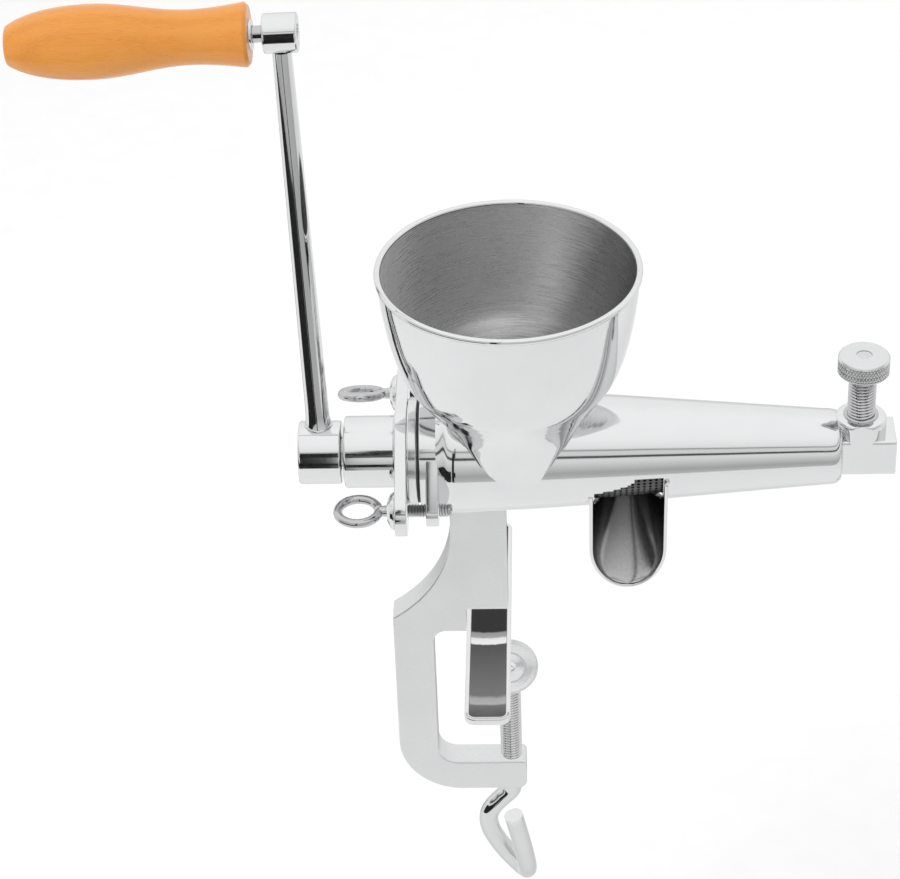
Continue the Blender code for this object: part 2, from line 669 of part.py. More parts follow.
def eyebolt_set(label, side, steel_mat, slide, turn):
    eyebolt(f"eyebolt_{label}", side, steel_mat, turn)
    place = {"location": (0, *bolt_place(side)), "rotation": ALONG_X}
    bore, face = BOLT_R + GAP, COVER_REAR - GAP
    turned(f"eyebolt_collar_{label}",
           [(bore, face - 3.2), (4.8, face - 3.0), (7.0, face - 1.9), (8.1, face - 0.5), (8.1, face),
            (bore, face)],
           steel_mat, steps=20, hollow=True, parent=slide, **place)


def pulp_screw(steel_mat, screw_parent, knob_parent):
    """The stem and, as a second piece, the knob that is pressed on its spigot."""
    stem_r, knob_r, low, top = PULP_STEM_R, PULP_KNOB_R, PULP_KNOB_LOW, PULP_KNOB_TOP
    spigot_r = 3.0
    tip, shoulder = 5.9, 8.2
    turned("pulp_screw",
           [(0, tip), (2.6, tip), (4.4, shoulder), (stem_r - 0.6, shoulder),
            (stem_r, shoulder + 0.7), (stem_r, low - 0.4), (spigot_r, low - 0.4),
            (spigot_r, top - 2.5), (0, top - 2.5)],
           steel_mat, steps=24, parent=screw_parent)
    turned("pulp_knob",
           [(0, top), (knob_r - 1.56, top), (knob_r - 0.56, top - 0.45), (knob_r, top - 1.5),
            (knob_r, low + 0.8), (knob_r - 0.76, low), (spigot_r + GAP, low),
            (spigot_r + GAP, top - 2.1), (0, top - 2.1)],
           steel_mat, steps=28, parent=knob_parent)


# ---------------------------------------------------------------- clamp screw and pad

def clamp_screw(made_of, parent):
    """The threaded bar and its bent hook, which are one length of steel."""
    top = BALL_Z - 6.6
    straight = [(0, 0, top), (0, 0, top - 0.6), (0, 0, top - 20), (0, 0, ARM_BOTTOM - 0.5)]
    down = [(-0.7, 0, -4.8), (-4.5, -0.5, -8.7), (-9.3, -1.5, -14.0), (-11.3, -2.2, -19.6),
            (-10.5, -2.8, -26.0), (-7.3, -3.3, -33.1), (-2.8, -3.8, -40.4)]
    turn = [(1.8, -4.2, -46.4), (4.9, -6.2, -48.3), (6.3, -9.8, -45.6)]
    back = [(6.1, -12.8, -38.8), (4.7, -14.2, -28.8), (3.2, -14.8, -20.6), (0.5, -15.2, -7.1)]
    hook = [(x, y, HOOK_START + z) for x, y, z in down + turn + back]
    radii = [CLAMP_SCREW_R - 0.6] + [CLAMP_SCREW_R] * 3 + [HOOK_R] * len(hook)
    body = rod("clamp_screw", straight + hook, radii, made_of, steps=16, parent=parent)
    socket = turned("clamp_rivet_hole",
                    [(0, BALL_Z - 22), (2.6, BALL_Z - 22), (2.6, BALL_Z + 2), (0, BALL_Z + 2)],
                    made_of, steps=16, parent=parent)
    cut(body, socket)
    return body


def pad_rivet(made_of, parent):
    ball = arc((0, BALL_Z), BALL_R, 90, -66, 7)
    neck = [(1.6, BALL_Z - 5.6), (2.3, BALL_Z - 7.4), (2.3, BALL_Z - 21), (0, BALL_Z - 21)]
    profile = [(0, BALL_Z + BALL_R)] + ball[1:] + neck
    return turned("pad_rivet", profile, made_of, steps=16, parent=parent)


def clamp_pad(made_of, parent):
    """A dished disc that swivels on the rivet's ball."""
    socket = arc((0, 0), BALL_R + GAP, -34, 52, 5)
    profile = socket + [(2.9, 4.6), (7.0, 3.0), (10.8, 4.1), (PAD_R - 0.5, 5.0), (PAD_R, 4.2),
                        (11.0, 2.4), (7.6, 1.0), (6.4, -1.6), (5.6, -2.4)]
    return turned("clamp_pad", profile, made_of, steps=28, hollow=True, parent=parent)


# ---------------------------------------------------------------- the whole juicer

def main():
    clear_scene()
    polished = steel("polished_steel")
    satin = steel("satin_steel", 0.28)
    dark_steel = steel("screw_steel", 0.2)
    wood = material("varnished_wood", (0.75, 0.30, 0.06), 0.35, 0.0)
    rubber = material("black_rubber", (0.02, 0.02, 0.02), 0.6, 0.0)
    bronze = material("bronze", (0.60, 0.38, 0.16), 0.35, 1.0)
    nylon = material("nylon", (0.85, 0.84, 0.80), 0.5, 0.0)

    body_frame = empty("barrel_axis", BARREL_AT)
    envelope = barrel_envelope("barrel_envelope", GAP, polished, body_frame)
    barrel(polished, body_frame)
    hopper(polished, body_frame, envelope)
    juice_spout(polished, body_frame, envelope)
    clamp_frame(satin, body_frame, envelope)
    jaw_bar(polished, body_frame)
    rear_stack(polished, rubber, bronze, nylon, body_frame)
    strainer(satin, body_frame)

    crank_axis = empty("crank_axis", (0, 0, 0), body_frame)
    auger(satin, crank_axis)
    crank_hub(polished, dark_steel, crank_axis)
    crank_arm(polished, crank_axis)
    head_at = (HEAD_X, CRANK_LENGTH * math.sin(CRANK_LEAN), CRANK_LENGTH * math.cos(CRANK_LEAN))
    grip(wood, polished, dark_steel,
         empty("grip_axis", head_at, crank_axis, rotation=(0, -GRIP_DROOP, 0)))

    for label, side in (("lower", -1), ("upper", 1)):
        slide = empty(f"eyebolt_slide_{label}", (0, 0, 0), body_frame)
        turn = empty(f"eyebolt_axis_{label}", (0, 0, 0), slide)
        eyebolt_set(label, side, polished, slide, turn)

    pulp_axis = empty("pulp_screw_axis", (PULP_SCREW_X, 0, 0), body_frame)
    pulp_screw(polished, pulp_axis, empty("pulp_knob_axis", (0, 0, 0), pulp_axis))

    clamp_axis = empty("clamp_screw_axis", (CLAMP_X, 0, 0), body_frame)
    clamp_screw(satin, empty("clamp_turn_axis", (0, 0, 0), clamp_axis))
    pad_rivet(satin, clamp_axis)
    pad_axis = empty("pad_tilt_axis", (0, 0, BALL_Z), clamp_axis, rotation=(PAD_TILT, 0, 0))
    clamp_pad(satin, pad_axis)


main()
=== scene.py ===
"""Looks of the hand-cranked auger juicer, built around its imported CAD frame.

Shapes are worked out in millimetres, measured from the point where the barrel's axis crosses
the hopper's axis: X runs towards the nose, -Y is the side the spout opens to, and Z is up.
"""
import json
import math

import bmesh
import bpy
from mathutils import Matrix, Vector


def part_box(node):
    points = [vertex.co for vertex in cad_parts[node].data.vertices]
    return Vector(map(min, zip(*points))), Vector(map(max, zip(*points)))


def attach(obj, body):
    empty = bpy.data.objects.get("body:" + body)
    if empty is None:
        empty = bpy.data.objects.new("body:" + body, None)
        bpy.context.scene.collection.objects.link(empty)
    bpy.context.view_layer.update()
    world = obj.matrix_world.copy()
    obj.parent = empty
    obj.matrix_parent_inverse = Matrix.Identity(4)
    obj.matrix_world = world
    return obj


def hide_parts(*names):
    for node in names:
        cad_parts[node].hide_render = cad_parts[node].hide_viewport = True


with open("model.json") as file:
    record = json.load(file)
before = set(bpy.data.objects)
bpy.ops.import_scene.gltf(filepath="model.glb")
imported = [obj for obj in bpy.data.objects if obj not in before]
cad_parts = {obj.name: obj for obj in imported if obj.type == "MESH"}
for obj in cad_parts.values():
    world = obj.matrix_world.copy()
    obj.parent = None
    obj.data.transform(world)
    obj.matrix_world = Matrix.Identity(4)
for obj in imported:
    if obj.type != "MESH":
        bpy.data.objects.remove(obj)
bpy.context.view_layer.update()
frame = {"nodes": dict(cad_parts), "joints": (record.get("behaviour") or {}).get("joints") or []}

MM = 0.001
JOINTS = {joint["name"]: joint for joint in frame["joints"]}
AXIS = Vector(JOINTS["crank_turn"]["pos_m"])
ALONG_X = Matrix.Rotation(math.pi / 2, 4, "Y")       # turns a piece's local +Z to +X


def joint_at(name):
    return (Vector(JOINTS[name]["pos_m"]) - AXIS) / MM


def corners(node):
    """A CAD node's lowest and highest corner, in millimetres from the barrel's axis."""
    return [(corner - AXIS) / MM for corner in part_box(node)]


def moved(x=0.0, y=0.0, z=0.0):
    return Matrix.Translation((x, y, z))


# ---------------------------------------------------------------- skins

class Skin:
    """Points and faces of a piece, with a material number for each face."""

    def __init__(self):
        self.points, self.faces, self.looks = [], [], []

    def ring(self, points):
        start = len(self.points)
        self.points += [tuple(p) for p in points]
        return list(range(start, len(self.points)))

    def face(self, corners_of_face, look=0):
        unique = list(dict.fromkeys(corners_of_face))
        if len(unique) > 2:
            self.faces.append(unique)
            self.looks.append(look)

    def strip(self, first, second, look=0, round_=True):
        """Faces between two rings; a ring of one point is a point on the axis."""
        count = max(len(first), len(second))
        for i in range(count if round_ else count - 1):
            j = (i + 1) % count
            self.face([first[i % len(first)], first[j % len(first)],
                       second[j % len(second)], second[i % len(second)]], look)

    def grid(self, rows, looks=0, round_=True, loop=False):
        rings = [self.ring(row) for row in rows]
        pairs = list(zip(rings, rings[1:]))
        if loop:
            pairs.append((rings[-1], rings[0]))
        for k, (first, second) in enumerate(pairs):
            look = looks[k] if isinstance(looks, (list, tuple)) else looks
            self.strip(first, second, look, round_)
        return rings

    def add(self, other, place=Matrix()):
        start = len(self.points)
        self.points += [tuple(place @ Vector(p)) for p in other.points]
        self.faces += [[start + i for i in face] for face in other.faces]
        self.looks += other.looks
        return self


def build(name, skin, looks, body, node, sharp=32, place=Matrix(), mirrored=True):
    """Makes a skin in millimetres into a piece that rides on a body and replaces a CAD node."""
    mesh = bpy.data.meshes.new(name)
    to_frame = Matrix.Translation(AXIS) @ Matrix.Scale(MM, 4) @ place
    mesh.from_pydata([to_frame @ Vector(p) for p in skin.points], [], skin.faces)
    mesh.polygons.foreach_set("material_index", skin.looks)
    tidy = bmesh.new()
    tidy.from_mesh(mesh)
    bmesh.ops.recalc_face_normals(tidy, faces=tidy.faces)
    tidy.to_mesh(mesh)
    tidy.free()
    mesh.shade_smooth()
    mesh.set_sharp_from_angle(angle=math.radians(sharp))
    for look in looks if isinstance(looks, list) else [looks]:
        mesh.materials.append(look)
    obj = bpy.data.objects.new(name, mesh)
    bpy.context.scene.collection.objects.link(obj)
    obj.visible_glossy = mirrored
    obj.modifiers.new("flat_faces_stay_flat", "WEIGHTED_NORMAL").keep_sharp = True
    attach(obj, body)
    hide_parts(node)


def capped(rows):
    """A skin through rows of points, closed at both ends."""
    skin = Skin()
    rings = skin.grid(rows)
    skin.face(rings[0])
    skin.face(rings[-1])
    return skin


def circle(radius, steps, z=0.0):
    return [(radius * math.cos(2 * math.pi * i / steps), radius * math.sin(2 * math.pi * i / steps), z)
            for i in range(steps)]


def rounded(outline, closed=False, step=15.0):
    """An outline of (x, y) or (x, y, radius) corners, with each given radius made an arc."""
    made = []
    count = len(outline)
    for i, corner in enumerate(outline):
        here = Vector(corner[:2])
        radius = corner[2] if len(corner) > 2 else 0.0
        inner = closed or 0 < i < count - 1
        if not inner or radius <= 0:
            made.append(tuple(here))
            continue
        before = Vector(outline[i - 1][:2]) - here
        after = Vector(outline[(i + 1) % count][:2]) - here
        half = before.angle(after) / 2
        reach = min(radius / math.tan(half), before.length * 0.49, after.length * 0.49)
        radius = reach * math.tan(half)
        centre = here + (before.normalized() + after.normalized()).normalized() * (radius / math.sin(half))
        start = here + before.normalized() * reach - centre
        end = here + after.normalized() * reach - centre
        sweep = start.angle_signed(end)
        pieces = max(2, math.ceil(abs(math.degrees(sweep)) / step))
        for k in range(pieces + 1):
            made.append(tuple(centre + Matrix.Rotation(-sweep * k / pieces, 2) @ start))
    return made


def turned(profile, steps=96, hollow=False, looks=0, step=15.0):
    """A skin of revolution about local Z from (radius, height[, fillet]) corners."""
    skin = Skin()
    rows = []
    for radius, height in rounded(profile, closed=hollow, step=step):
        rows.append([(0, 0, height)] if radius < 1e-6 else circle(radius, steps, height))
    skin.grid(rows, looks, loop=hollow)
    return skin


def smooth_path(points, per_span=8):
    """A Catmull-Rom curve through the points."""
    points = [Vector(p) for p in points]
    made = []
    for i in range(len(points) - 1):
        p0 = points[max(i - 1, 0)]
        p1, p2 = points[i], points[i + 1]
        p3 = points[min(i + 2, len(points) - 1)]
        for k in range(per_span):
            t = k / per_span
            made.append(0.5 * (2 * p1 + (p2 - p0) * t + (2 * p0 - 5 * p1 + 4 * p2 - p3) * t * t
                               + (3 * p1 - p0 - 3 * p2 + p3) * t ** 3))
    return made + [points[-1]]


def swept(path, radius, steps=24, closed=False):
    """A round bar along a path; radius is a number or a function of the share of its length."""
    skin = Skin()
    count = len(path)
    rows = []
    side = None
    for i, point in enumerate(path):
        ahead = path[(i + 1) % count] if closed else path[min(i + 1, count - 1)]
        behind = path[i - 1] if closed else path[max(i - 1, 0)]
        along = (Vector(ahead) - Vector(behind)).normalized()
        if side is None:
            side = along.orthogonal()
        side = (side - along * side.dot(along)).normalized()
        up = along.cross(side)
        size = radius(i / (count - 1)) if callable(radius) else radius
        rows.append([Vector(point) + side * x * size + up * y * size for x, y, _ in circle(1, steps)])
    rings = skin.grid(rows, loop=closed)
    if not closed:
        skin.face(rings[0])
        skin.face(rings[-1])
    return skin


def threaded(radius, depth, pitch, low, high, steps=48, per_pitch=8, run_out=0.6):
    """Rows of points up a threaded bar; the thread fades out at both ends."""
    rows = []
    count = math.ceil((high - low) / pitch * per_pitch)
    for k in range(count + 1):
        z = low + (high - low) * k / count
        fade = min(1.0, (z - low) / (run_out * pitch), (high - z) / (run_out * pitch))
        row = []
        for i in range(steps):
            turn = (z / pitch - i / steps) % 1.0
            groove = 1 - min(1.0, max(0.0, abs(turn - 0.5) * 2.6 - 0.15))
            size = radius - depth * max(fade, 0.0) * groove
            angle = 2 * math.pi * i / steps
            row.append((size * math.cos(angle), size * math.sin(angle), z))
        rows.append(row)
    return rows


def plated(outline, low, high, bevel=0.5, axis="Y", segments=3):
    """A flat plate from an outline in two axes, with rounded edges."""
    order = {"X": lambda a, b, d: (d, a, b), "Y": lambda a, b, d: (a, d, b),
             "Z": lambda a, b, d: (a, b, d)}[axis]
    shape = bmesh.new()
    rings = []
    for depth in (low, high):
        rings.append([shape.verts.new(order(a, b, depth)) for a, b in outline])
    faces = [shape.faces.new(rings[0]), shape.faces.new(rings[1])]
    for i in range(len(outline)):
        j = (i + 1) % len(outline)
        shape.faces.new((rings[0][i], rings[0][j], rings[1][j], rings[1][i]))
    bmesh.ops.recalc_face_normals(shape, faces=shape.faces)
    if bevel:
        edges = {edge for face in faces for edge in face.edges}
        bmesh.ops.bevel(shape, geom=list(edges), offset=bevel, segments=segments, profile=0.5,
                        affect="EDGES", clamp_overlap=True)
    skin = Skin()
    shape.verts.ensure_lookup_table()
    skin.points = [tuple(v.co) for v in shape.verts]
    for face in shape.faces:
        skin.face([v.index for v in face.verts])
    shape.free()
    return skin


# ---------------------------------------------------------------- materials

class Nodes:
    """Short ways to add nodes to a tree and to link them."""

    def __init__(self, tree):
        self.tree = tree

    def node(self, kind, **values):
        made = self.tree.nodes.new("ShaderNode" + kind)
        for key, value in values.items():
            setattr(made, key, value)
        return made

    def link(self, source, target):
        self.tree.links.new(source, target)

    def spread(self, value, low, high, from_low=0.3, from_high=0.7):
        """A value, such as a noise's, carried to a range."""
        made = self.node("MapRange")
        for key, number in (("From Min", from_low), ("From Max", from_high),
                            ("To Min", low), ("To Max", high)):
            made.inputs[key].default_value = number
        self.link(value, made.inputs["Value"])
        return made.outputs[0]

    def ramp(self, value, stops):
        """Colours or greys at their positions, with a blend between neighbours."""
        made = self.node("ValToRGB")
        while len(made.color_ramp.elements) < len(stops):
            made.color_ramp.elements.new(0.5)
        for element, (position, colour) in zip(made.color_ramp.elements, stops):
            element.position = position
            element.color = (*colour, 1.0) if isinstance(colour, tuple) else (colour, colour, colour, 1.0)
        self.link(value, made.inputs["Fac"])
        return made.outputs[0]


class Look(Nodes):
    """A material, with the textures that the looks are made from."""

    def __init__(self, name):
        self.material = bpy.data.materials.new(name)
        self.material.use_nodes = True
        super().__init__(self.material.node_tree)
        self.shader = self.tree.nodes["Principled BSDF"]

    def math(self, operation, a, b=0.0):
        made = self.node("Math", operation=operation)
        for slot_number, value in enumerate((a, b)):
            if isinstance(value, (int, float)):
                made.inputs[slot_number].default_value = value
            else:
                self.link(value, made.inputs[slot_number])
        return made.outputs[0]

    def place(self, centre=(0, 0, 0)):
        """Object coordinates in millimetres, measured from a point of the barrel's frame."""
        coordinates = self.node("TexCoord")
        mapping = self.node("Mapping")
        mapping.vector_type = "TEXTURE"
        mapping.inputs["Location"].default_value = AXIS + Vector(centre) * MM
        mapping.inputs["Scale"].default_value = (MM, MM, MM)
        self.link(coordinates.outputs["Object"], mapping.inputs["Vector"])
        return mapping.outputs[0]

    def stretched(self, vector, scale):
        mapping = self.node("Mapping")
        mapping.inputs["Scale"].default_value = scale
        self.link(vector, mapping.inputs["Vector"])
        return mapping.outputs[0]

    def noise(self, vector, stretch=None, detail=2.0, roughness=0.5, scale=1.0):
        made = self.node("TexNoise")
        for key, number in (("Scale", scale), ("Detail", detail), ("Roughness", roughness)):
            made.inputs[key].default_value = number
        self.link(self.stretched(vector, stretch) if stretch else vector, made.inputs["Vector"])
        return made.outputs[0]

    def bump(self, height, distance, strength=1.0):
        """Height of 0 to 1 made into a bump that is so many millimetres deep."""
        made = self.node("Bump")
        made.inputs["Strength"].default_value = strength
        made.inputs["Distance"].default_value = distance * MM
        self.link(height, made.inputs["Height"])
        return made.outputs[0]

    def around(self, vector, axis, along_scale, around_scale):
        """Coordinates that run round an axis, for marks left by a lathe or a polishing wheel."""
        parts = self.node("SeparateXYZ")
        self.link(vector, parts.inputs[0])
        a, b, along = (parts.outputs[n] for n in {"X": "YZX", "Z": "XYZ"}[axis])
        squares = self.math("ADD", self.math("MULTIPLY", a, a), self.math("MULTIPLY", b, b))
        joined = self.node("CombineXYZ")
        scaled = ((self.math("ARCTAN2", a, b), around_scale), (along, along_scale),
                  (self.math("SQRT", squares), along_scale))
        for number, (value, scale) in enumerate(scaled):
            self.link(self.math("MULTIPLY", value, scale), joined.inputs[number])
        return joined.outputs[0]

    def multiplied(self, colour, shade, share=1.0):
        mixed = self.node("Mix", data_type="RGBA", blend_type="MULTIPLY")
        mixed.inputs["Factor"].default_value = share
        self.link(colour, mixed.inputs["A"])
        self.link(shade, mixed.inputs["B"])
        return mixed.outputs["Result"]

    def toned(self, value, colour, darker, low=0.25, high=0.75):
        """A colour that is darker where the value is low."""
        return self.ramp(value, ((low, tuple(c * darker for c in colour)), (high, colour)))

    def edged(self, colour, start=0.62):
        """Painted shade: a metal's colour made darker where the surface turns away from the eye."""
        weight = self.node("LayerWeight")
        weight.inputs["Blend"].default_value = 0.5
        shade = self.ramp(weight.outputs["Facing"], ((start, 1), (0.86, 0.66), (0.98, 0.3)))
        return self.multiplied(colour, shade)

    def hollowed(self, colour, darkest=0.12):
        """Painted shade: a colour that darkens in the grooves of a thread or a knurl."""
        pointiness = self.node("NewGeometry").outputs["Pointiness"]
        return self.multiplied(colour, self.ramp(pointiness, ((0.43, darkest), (0.50, 0.85), (0.53, 1))))

    def set(self, **values):
        for key, value in values.items():
            target = self.shader.inputs[key.replace("_", " ")]
            if isinstance(value, (int, float)):
                target.default_value = value
            elif isinstance(value, tuple):
                target.default_value = (*value, 1.0)
            else:
                self.link(value, target)
        return self.material


STEEL = (0.735, 0.74, 0.745)


def polished_steel(name="polished_steel", waviness=0.012, grooved=False, steel=STEEL, edge_start=0.62):
    """Mirror-polished metal: faint buffing haze, and the slight waviness of formed sheet."""
    look = Look(name)
    place = look.place()
    haze = look.noise(place, (0.05, 0.05, 0.05), 5, 0.6)
    fine = look.noise(place, (1.5, 6.0, 6.0), 3)
    wave = look.noise(place, (0.03, 0.03, 0.03), 1)
    roughness = look.math("ADD", look.spread(haze, 0.035, 0.085), look.spread(fine, 0.0, 0.02))
    # edged() paints shade where the surface turns away from the eye; with grooved, hollowed() paints shade in
    # the grooves.
    colour = look.edged(look.toned(haze, steel, 0.97, 0.3, 0.7), edge_start)
    if grooved:
        colour = look.hollowed(colour)
    return look.set(Base_Color=colour, Metallic=1.0, Roughness=roughness,
                    Normal=look.bump(wave, waviness * 20, 0.35))


def brushed_steel(name, stretch, roughness=(0.2, 0.32), depth=0.012, colour=STEEL):
    """Steel with straight brush lines, long along the axis whose stretch is small."""
    look = Look(name)
    place = look.place()
    lines = look.noise(place, stretch, 4, 0.65)
    patches = look.noise(place, (0.06, 0.06, 0.06), 3)
    rough = look.math("ADD", look.spread(lines, *roughness), look.spread(patches, -0.03, 0.03))
    # edged() paints shade where the surface turns away from the eye.
    return look.set(Base_Color=look.edged(look.toned(lines, colour, 0.9)), Metallic=1.0, Roughness=rough,
                    Normal=look.bump(lines, depth))


def turned_steel(name, centre, axis, roughness=(0.14, 0.26), depth=0.012, grooved=False):
    """Steel with fine rings left by a lathe or by circular brushing."""
    look = Look(name)
    rings = look.noise(look.around(look.place(centre), axis, 5.0, 1.5), detail=4, roughness=0.7)
    # edged() paints shade where the surface turns away from the eye; with grooved, hollowed() paints shade in
    # the grooves.
    colour = look.edged(look.toned(rings, STEEL, 0.9))
    if grooved:
        colour = look.hollowed(colour, 0.08)
    return look.set(Base_Color=colour, Metallic=1.0, Roughness=look.spread(rings, *roughness),
                    Normal=look.bump(rings, depth))


def shaded_steel(name, direction, span, stops, roughness, stretch, metallic=1.0, streak=0.04):
    """Steel inside a hollow, with painted reflection and shade: a colour ramp along one direction stands in
    for what it mirrors, darker from one side to the other.
    """
    look = Look(name)
    place = look.place()
    along = look.node("VectorMath", operation="DOT_PRODUCT")
    look.link(place, along.inputs[0])
    along.inputs[1].default_value = direction
    share = look.spread(along.outputs["Value"], 0.0, 1.0, *span)
    lines = look.noise(place, stretch, 3, 0.6)
    colour = look.ramp(look.math("ADD", share, look.spread(lines, -streak, streak)), stops)
    return look.set(Base_Color=colour, Metallic=metallic, Roughness=look.spread(lines, *roughness),
                    Normal=look.bump(lines, 0.006))


def varnished_wood(centre):
    """Beech under clear varnish: long fibres along the handle, growth bands and short flecks."""
    look = Look("varnished_wood")
    place = look.place(centre)
    drift = look.noise(place, (0.012, 0.05, 0.05), 2)
    fibres = look.noise(place, (0.03, 2.2, 2.2), 6, 0.65)
    flecks = look.noise(place, (0.25, 3.2, 3.2), 2)
    bands = look.node("TexWave", wave_type="BANDS", bands_direction="Y")
    for key, number in (("Scale", 0.055), ("Distortion", 3.5), ("Detail", 3), ("Detail Scale", 0.6)):
        bands.inputs[key].default_value = number
    look.link(look.stretched(place, (0.06, 1.0, 0.8)), bands.inputs["Vector"])
    tone = look.math("ADD", look.spread(drift, 0.1, 0.35), look.spread(fibres, 0.1, 0.4))
    tone = look.math("ADD", tone, look.math("MULTIPLY", bands.outputs["Fac"], 0.12))
    colour = look.ramp(tone, ((0.1, (0.56, 0.19, 0.026)), (0.45, (0.74, 0.285, 0.043)),
                              (0.9, (0.82, 0.35, 0.070))))
    dark = look.ramp(flecks, ((0.62, 1), (0.72, (0.78, 0.66, 0.55))))
    return look.set(Base_Color=look.multiplied(colour, dark, 0.7), Roughness=look.spread(fibres, 0.34, 0.46),
                    Normal=look.bump(fibres, 0.02), Coat_Weight=0.4, Coat_Roughness=0.14,
                    Specular_IOR_Level=0.3)


def plain_matter(name, colour, roughness, metallic=0.0):
    """Rubber, nylon or bronze: mottled a little in colour, with a fine grain."""
    look = Look(name)
    place = look.place()
    mottle = look.noise(place, (0.4, 0.4, 0.4), 4)
    fine = look.noise(place, (4.0, 4.0, 4.0), 2)
    return look.set(Base_Color=look.toned(mottle, colour, 0.82, 0.3, 0.7), Metallic=metallic,
                    Roughness=look.spread(fine, roughness - 0.06, roughness + 0.06),
                    Normal=look.bump(fine, 0.02))


def weld_steel():
    """A dressed weld: bright steel with the ripples of the bead left in it."""
    look = Look("weld_steel")
    ripple = look.noise(look.place(), (0.9, 0.9, 0.9), 3)
    shade = look.ramp(ripple, ((0.3, (0.60, 0.60, 0.61)), (0.7, (0.76, 0.76, 0.77))))
    return look.set(Base_Color=shade, Metallic=1.0, Roughness=look.spread(ripple, 0.1, 0.24),
                    Normal=look.bump(ripple, 0.06))


# ---------------------------------------------------------------- barrel and nose

SHEET = 2.0                                # wall of the barrel
BARREL_OUTLINE = ((-31.9, 23.2), (-31.2, 23.2), (-29.4, 25.2), (-25.5, 26.5), (11.0, 25.2),
                  (46.5, 23.0), (136.0, 16.0))
NOSE_TIP = ((136.0, 16.0), (137.4, 15.7), (138.3, 14.9), (138.6, 13.8))
BOLT_PLACES = {label: joint_at(f"eyebolt_{label}_turn") for label in ("upper", "lower")}
PULP_AT = joint_at("pulp_knob_turn")
CLAMP_AT = joint_at("clamp_turn")
HOPPER_PORT = (-9.0, 11.0, 17.0)           # X limits and half width across
SPOUT_PORT = (34.4, 63.6, -22.6, 8.0)      # X limits and Y limits


def barrel_radius(x):
    for (x0, r0), (x1, r1) in zip(BARREL_OUTLINE, BARREL_OUTLINE[1:]):
        if x <= x1:
            return r0 + (r1 - r0) * max(0.0, (x - x0) / (x1 - x0))
    return BARREL_OUTLINE[-1][1]


def eased_barrel_radius(x):
    """The barrel's outside with its corners run together, as spun sheet has them."""
    reach = 2.5 if x < -20 else 7.0
    samples = [barrel_radius(min(max(x + reach * k / 4, -31.9), 136.0)) for k in range(-4, 5)]
    return sum(samples) / len(samples)


def in_port(x, angle):
    radius = eased_barrel_radius(x)
    y, z = radius * math.sin(angle), radius * math.cos(angle)
    low, high, half = HOPPER_PORT
    if z > 0 and low < x < high and abs(y) < half:
        return True
    low, high, front, back = SPOUT_PORT
    return z < 0 and low < x < high and front < y < back


def barrel_shell():
    """The spun cone: an outer and an inner skin, joined round the ends and the two ports."""
    steps = 144
    stations = [-31.9 + 0.5 * k for k in range(14)] + [-24.5 + 160.5 * k / 110 for k in range(111)]
    port_edges = [*HOPPER_PORT[:2], *SPOUT_PORT[:2]]
    stations = [min(port_edges, key=lambda e: abs(e - x)) if min(abs(e - x) for e in port_edges) < 0.73
                else x for x in stations]
    outer = [(x, eased_barrel_radius(x)) for x in stations[:-1]] + list(NOSE_TIP)
    outer = sorted(set(outer))
    inner = [(x, max(r - SHEET, 6.0)) for x, r in outer]
    skin = Skin()
    rings = {}
    turns = [2 * math.pi * i / steps for i in range(steps)]
    for side, profile in (("outer", outer), ("inner", inner)):
        rings[side] = [skin.ring([(x, r * math.sin(t), r * math.cos(t)) for t in turns]) for x, r in profile]
    open_cells = set()
    for k in range(len(outer) - 1):
        for i in range(steps):
            if in_port((outer[k][0] + outer[k + 1][0]) / 2, 2 * math.pi * (i + 0.5) / steps):
                open_cells.add((k, i))
    for k in range(len(outer) - 1):
        for i in range(steps):
            j = (i + 1) % steps
            if (k, i) in open_cells:
                continue
            for side in ("outer", "inner"):
                a, b = rings[side][k], rings[side][k + 1]
                skin.face([a[i], a[j], b[j], b[i]])
            sides = (((k, j), (k, j), (k + 1, j)), ((k, (i - 1) % steps), (k, i), (k + 1, i)),
                     ((k + 1, i), (k + 1, i), (k + 1, j)), ((k - 1, i), (k, i), (k, j)))
            for near, first, second in sides:
                if near in open_cells:
                    skin.face([rings["outer"][first[0]][first[1]], rings["outer"][second[0]][second[1]],
                               rings["inner"][second[0]][second[1]], rings["inner"][first[0]][first[1]]])
    for end in (0, -1):
        skin.strip(rings["outer"][end], rings["inner"][end])
    return skin


def lobed_outline(centre_radius, ear_radius, steps=72):
    """The outline of a plate: a disc with an ear at each eyebolt, joined by straight tangents."""
    points = []
    for i in range(steps * 2):
        angle = math.pi * i / steps
        direction = Vector((math.cos(angle), math.sin(angle)))
        discs = [(Vector((0, 0)), centre_radius)]
        discs += [(Vector((p.y, p.z)), ear_radius) for p in BOLT_PLACES.values()]
        centre, radius = max(discs, key=lambda d: d[0].dot(direction) + d[1])
        points.append(tuple(centre + direction * radius))
    return points


def ringed(outline, bore, low, high, bevel=0.4):
    """A plate across X with a central round bore, made as one closed skin."""
    count = len(outline)
    hole = [(bore * math.cos(2 * math.pi * i / count), bore * math.sin(2 * math.pi * i / count))
            for i in range(count)]
    middle = Vector((0, 0))
    def shrunk(points, by):
        made = []
        for i, p in enumerate(points):
            along = Vector(points[(i + 1) % count]) - Vector(points[i - 1])
            out = Vector((along.y, -along.x)).normalized()
            if out.dot(Vector(p) - middle) < 0:
                out = -out
            made.append(tuple(Vector(p) - out * by))
        return made
    rows = []
    for share in range(4):
        turn = math.pi / 2 * share / 3
        rows.append((shrunk(outline, bevel * (1 - math.sin(turn))), low + bevel * (1 - math.cos(turn))))
    for share in range(4):
        turn = math.pi / 2 * share / 3
        rows.append((shrunk(outline, bevel * (1 - math.cos(turn))), high - bevel * (1 - math.sin(turn))))
    rows.append((hole, high))
    rows.append((hole, low))
    skin = Skin()
    skin.grid([[(x, y, z) for y, z in points] for points, x in rows], loop=True)
    return skin


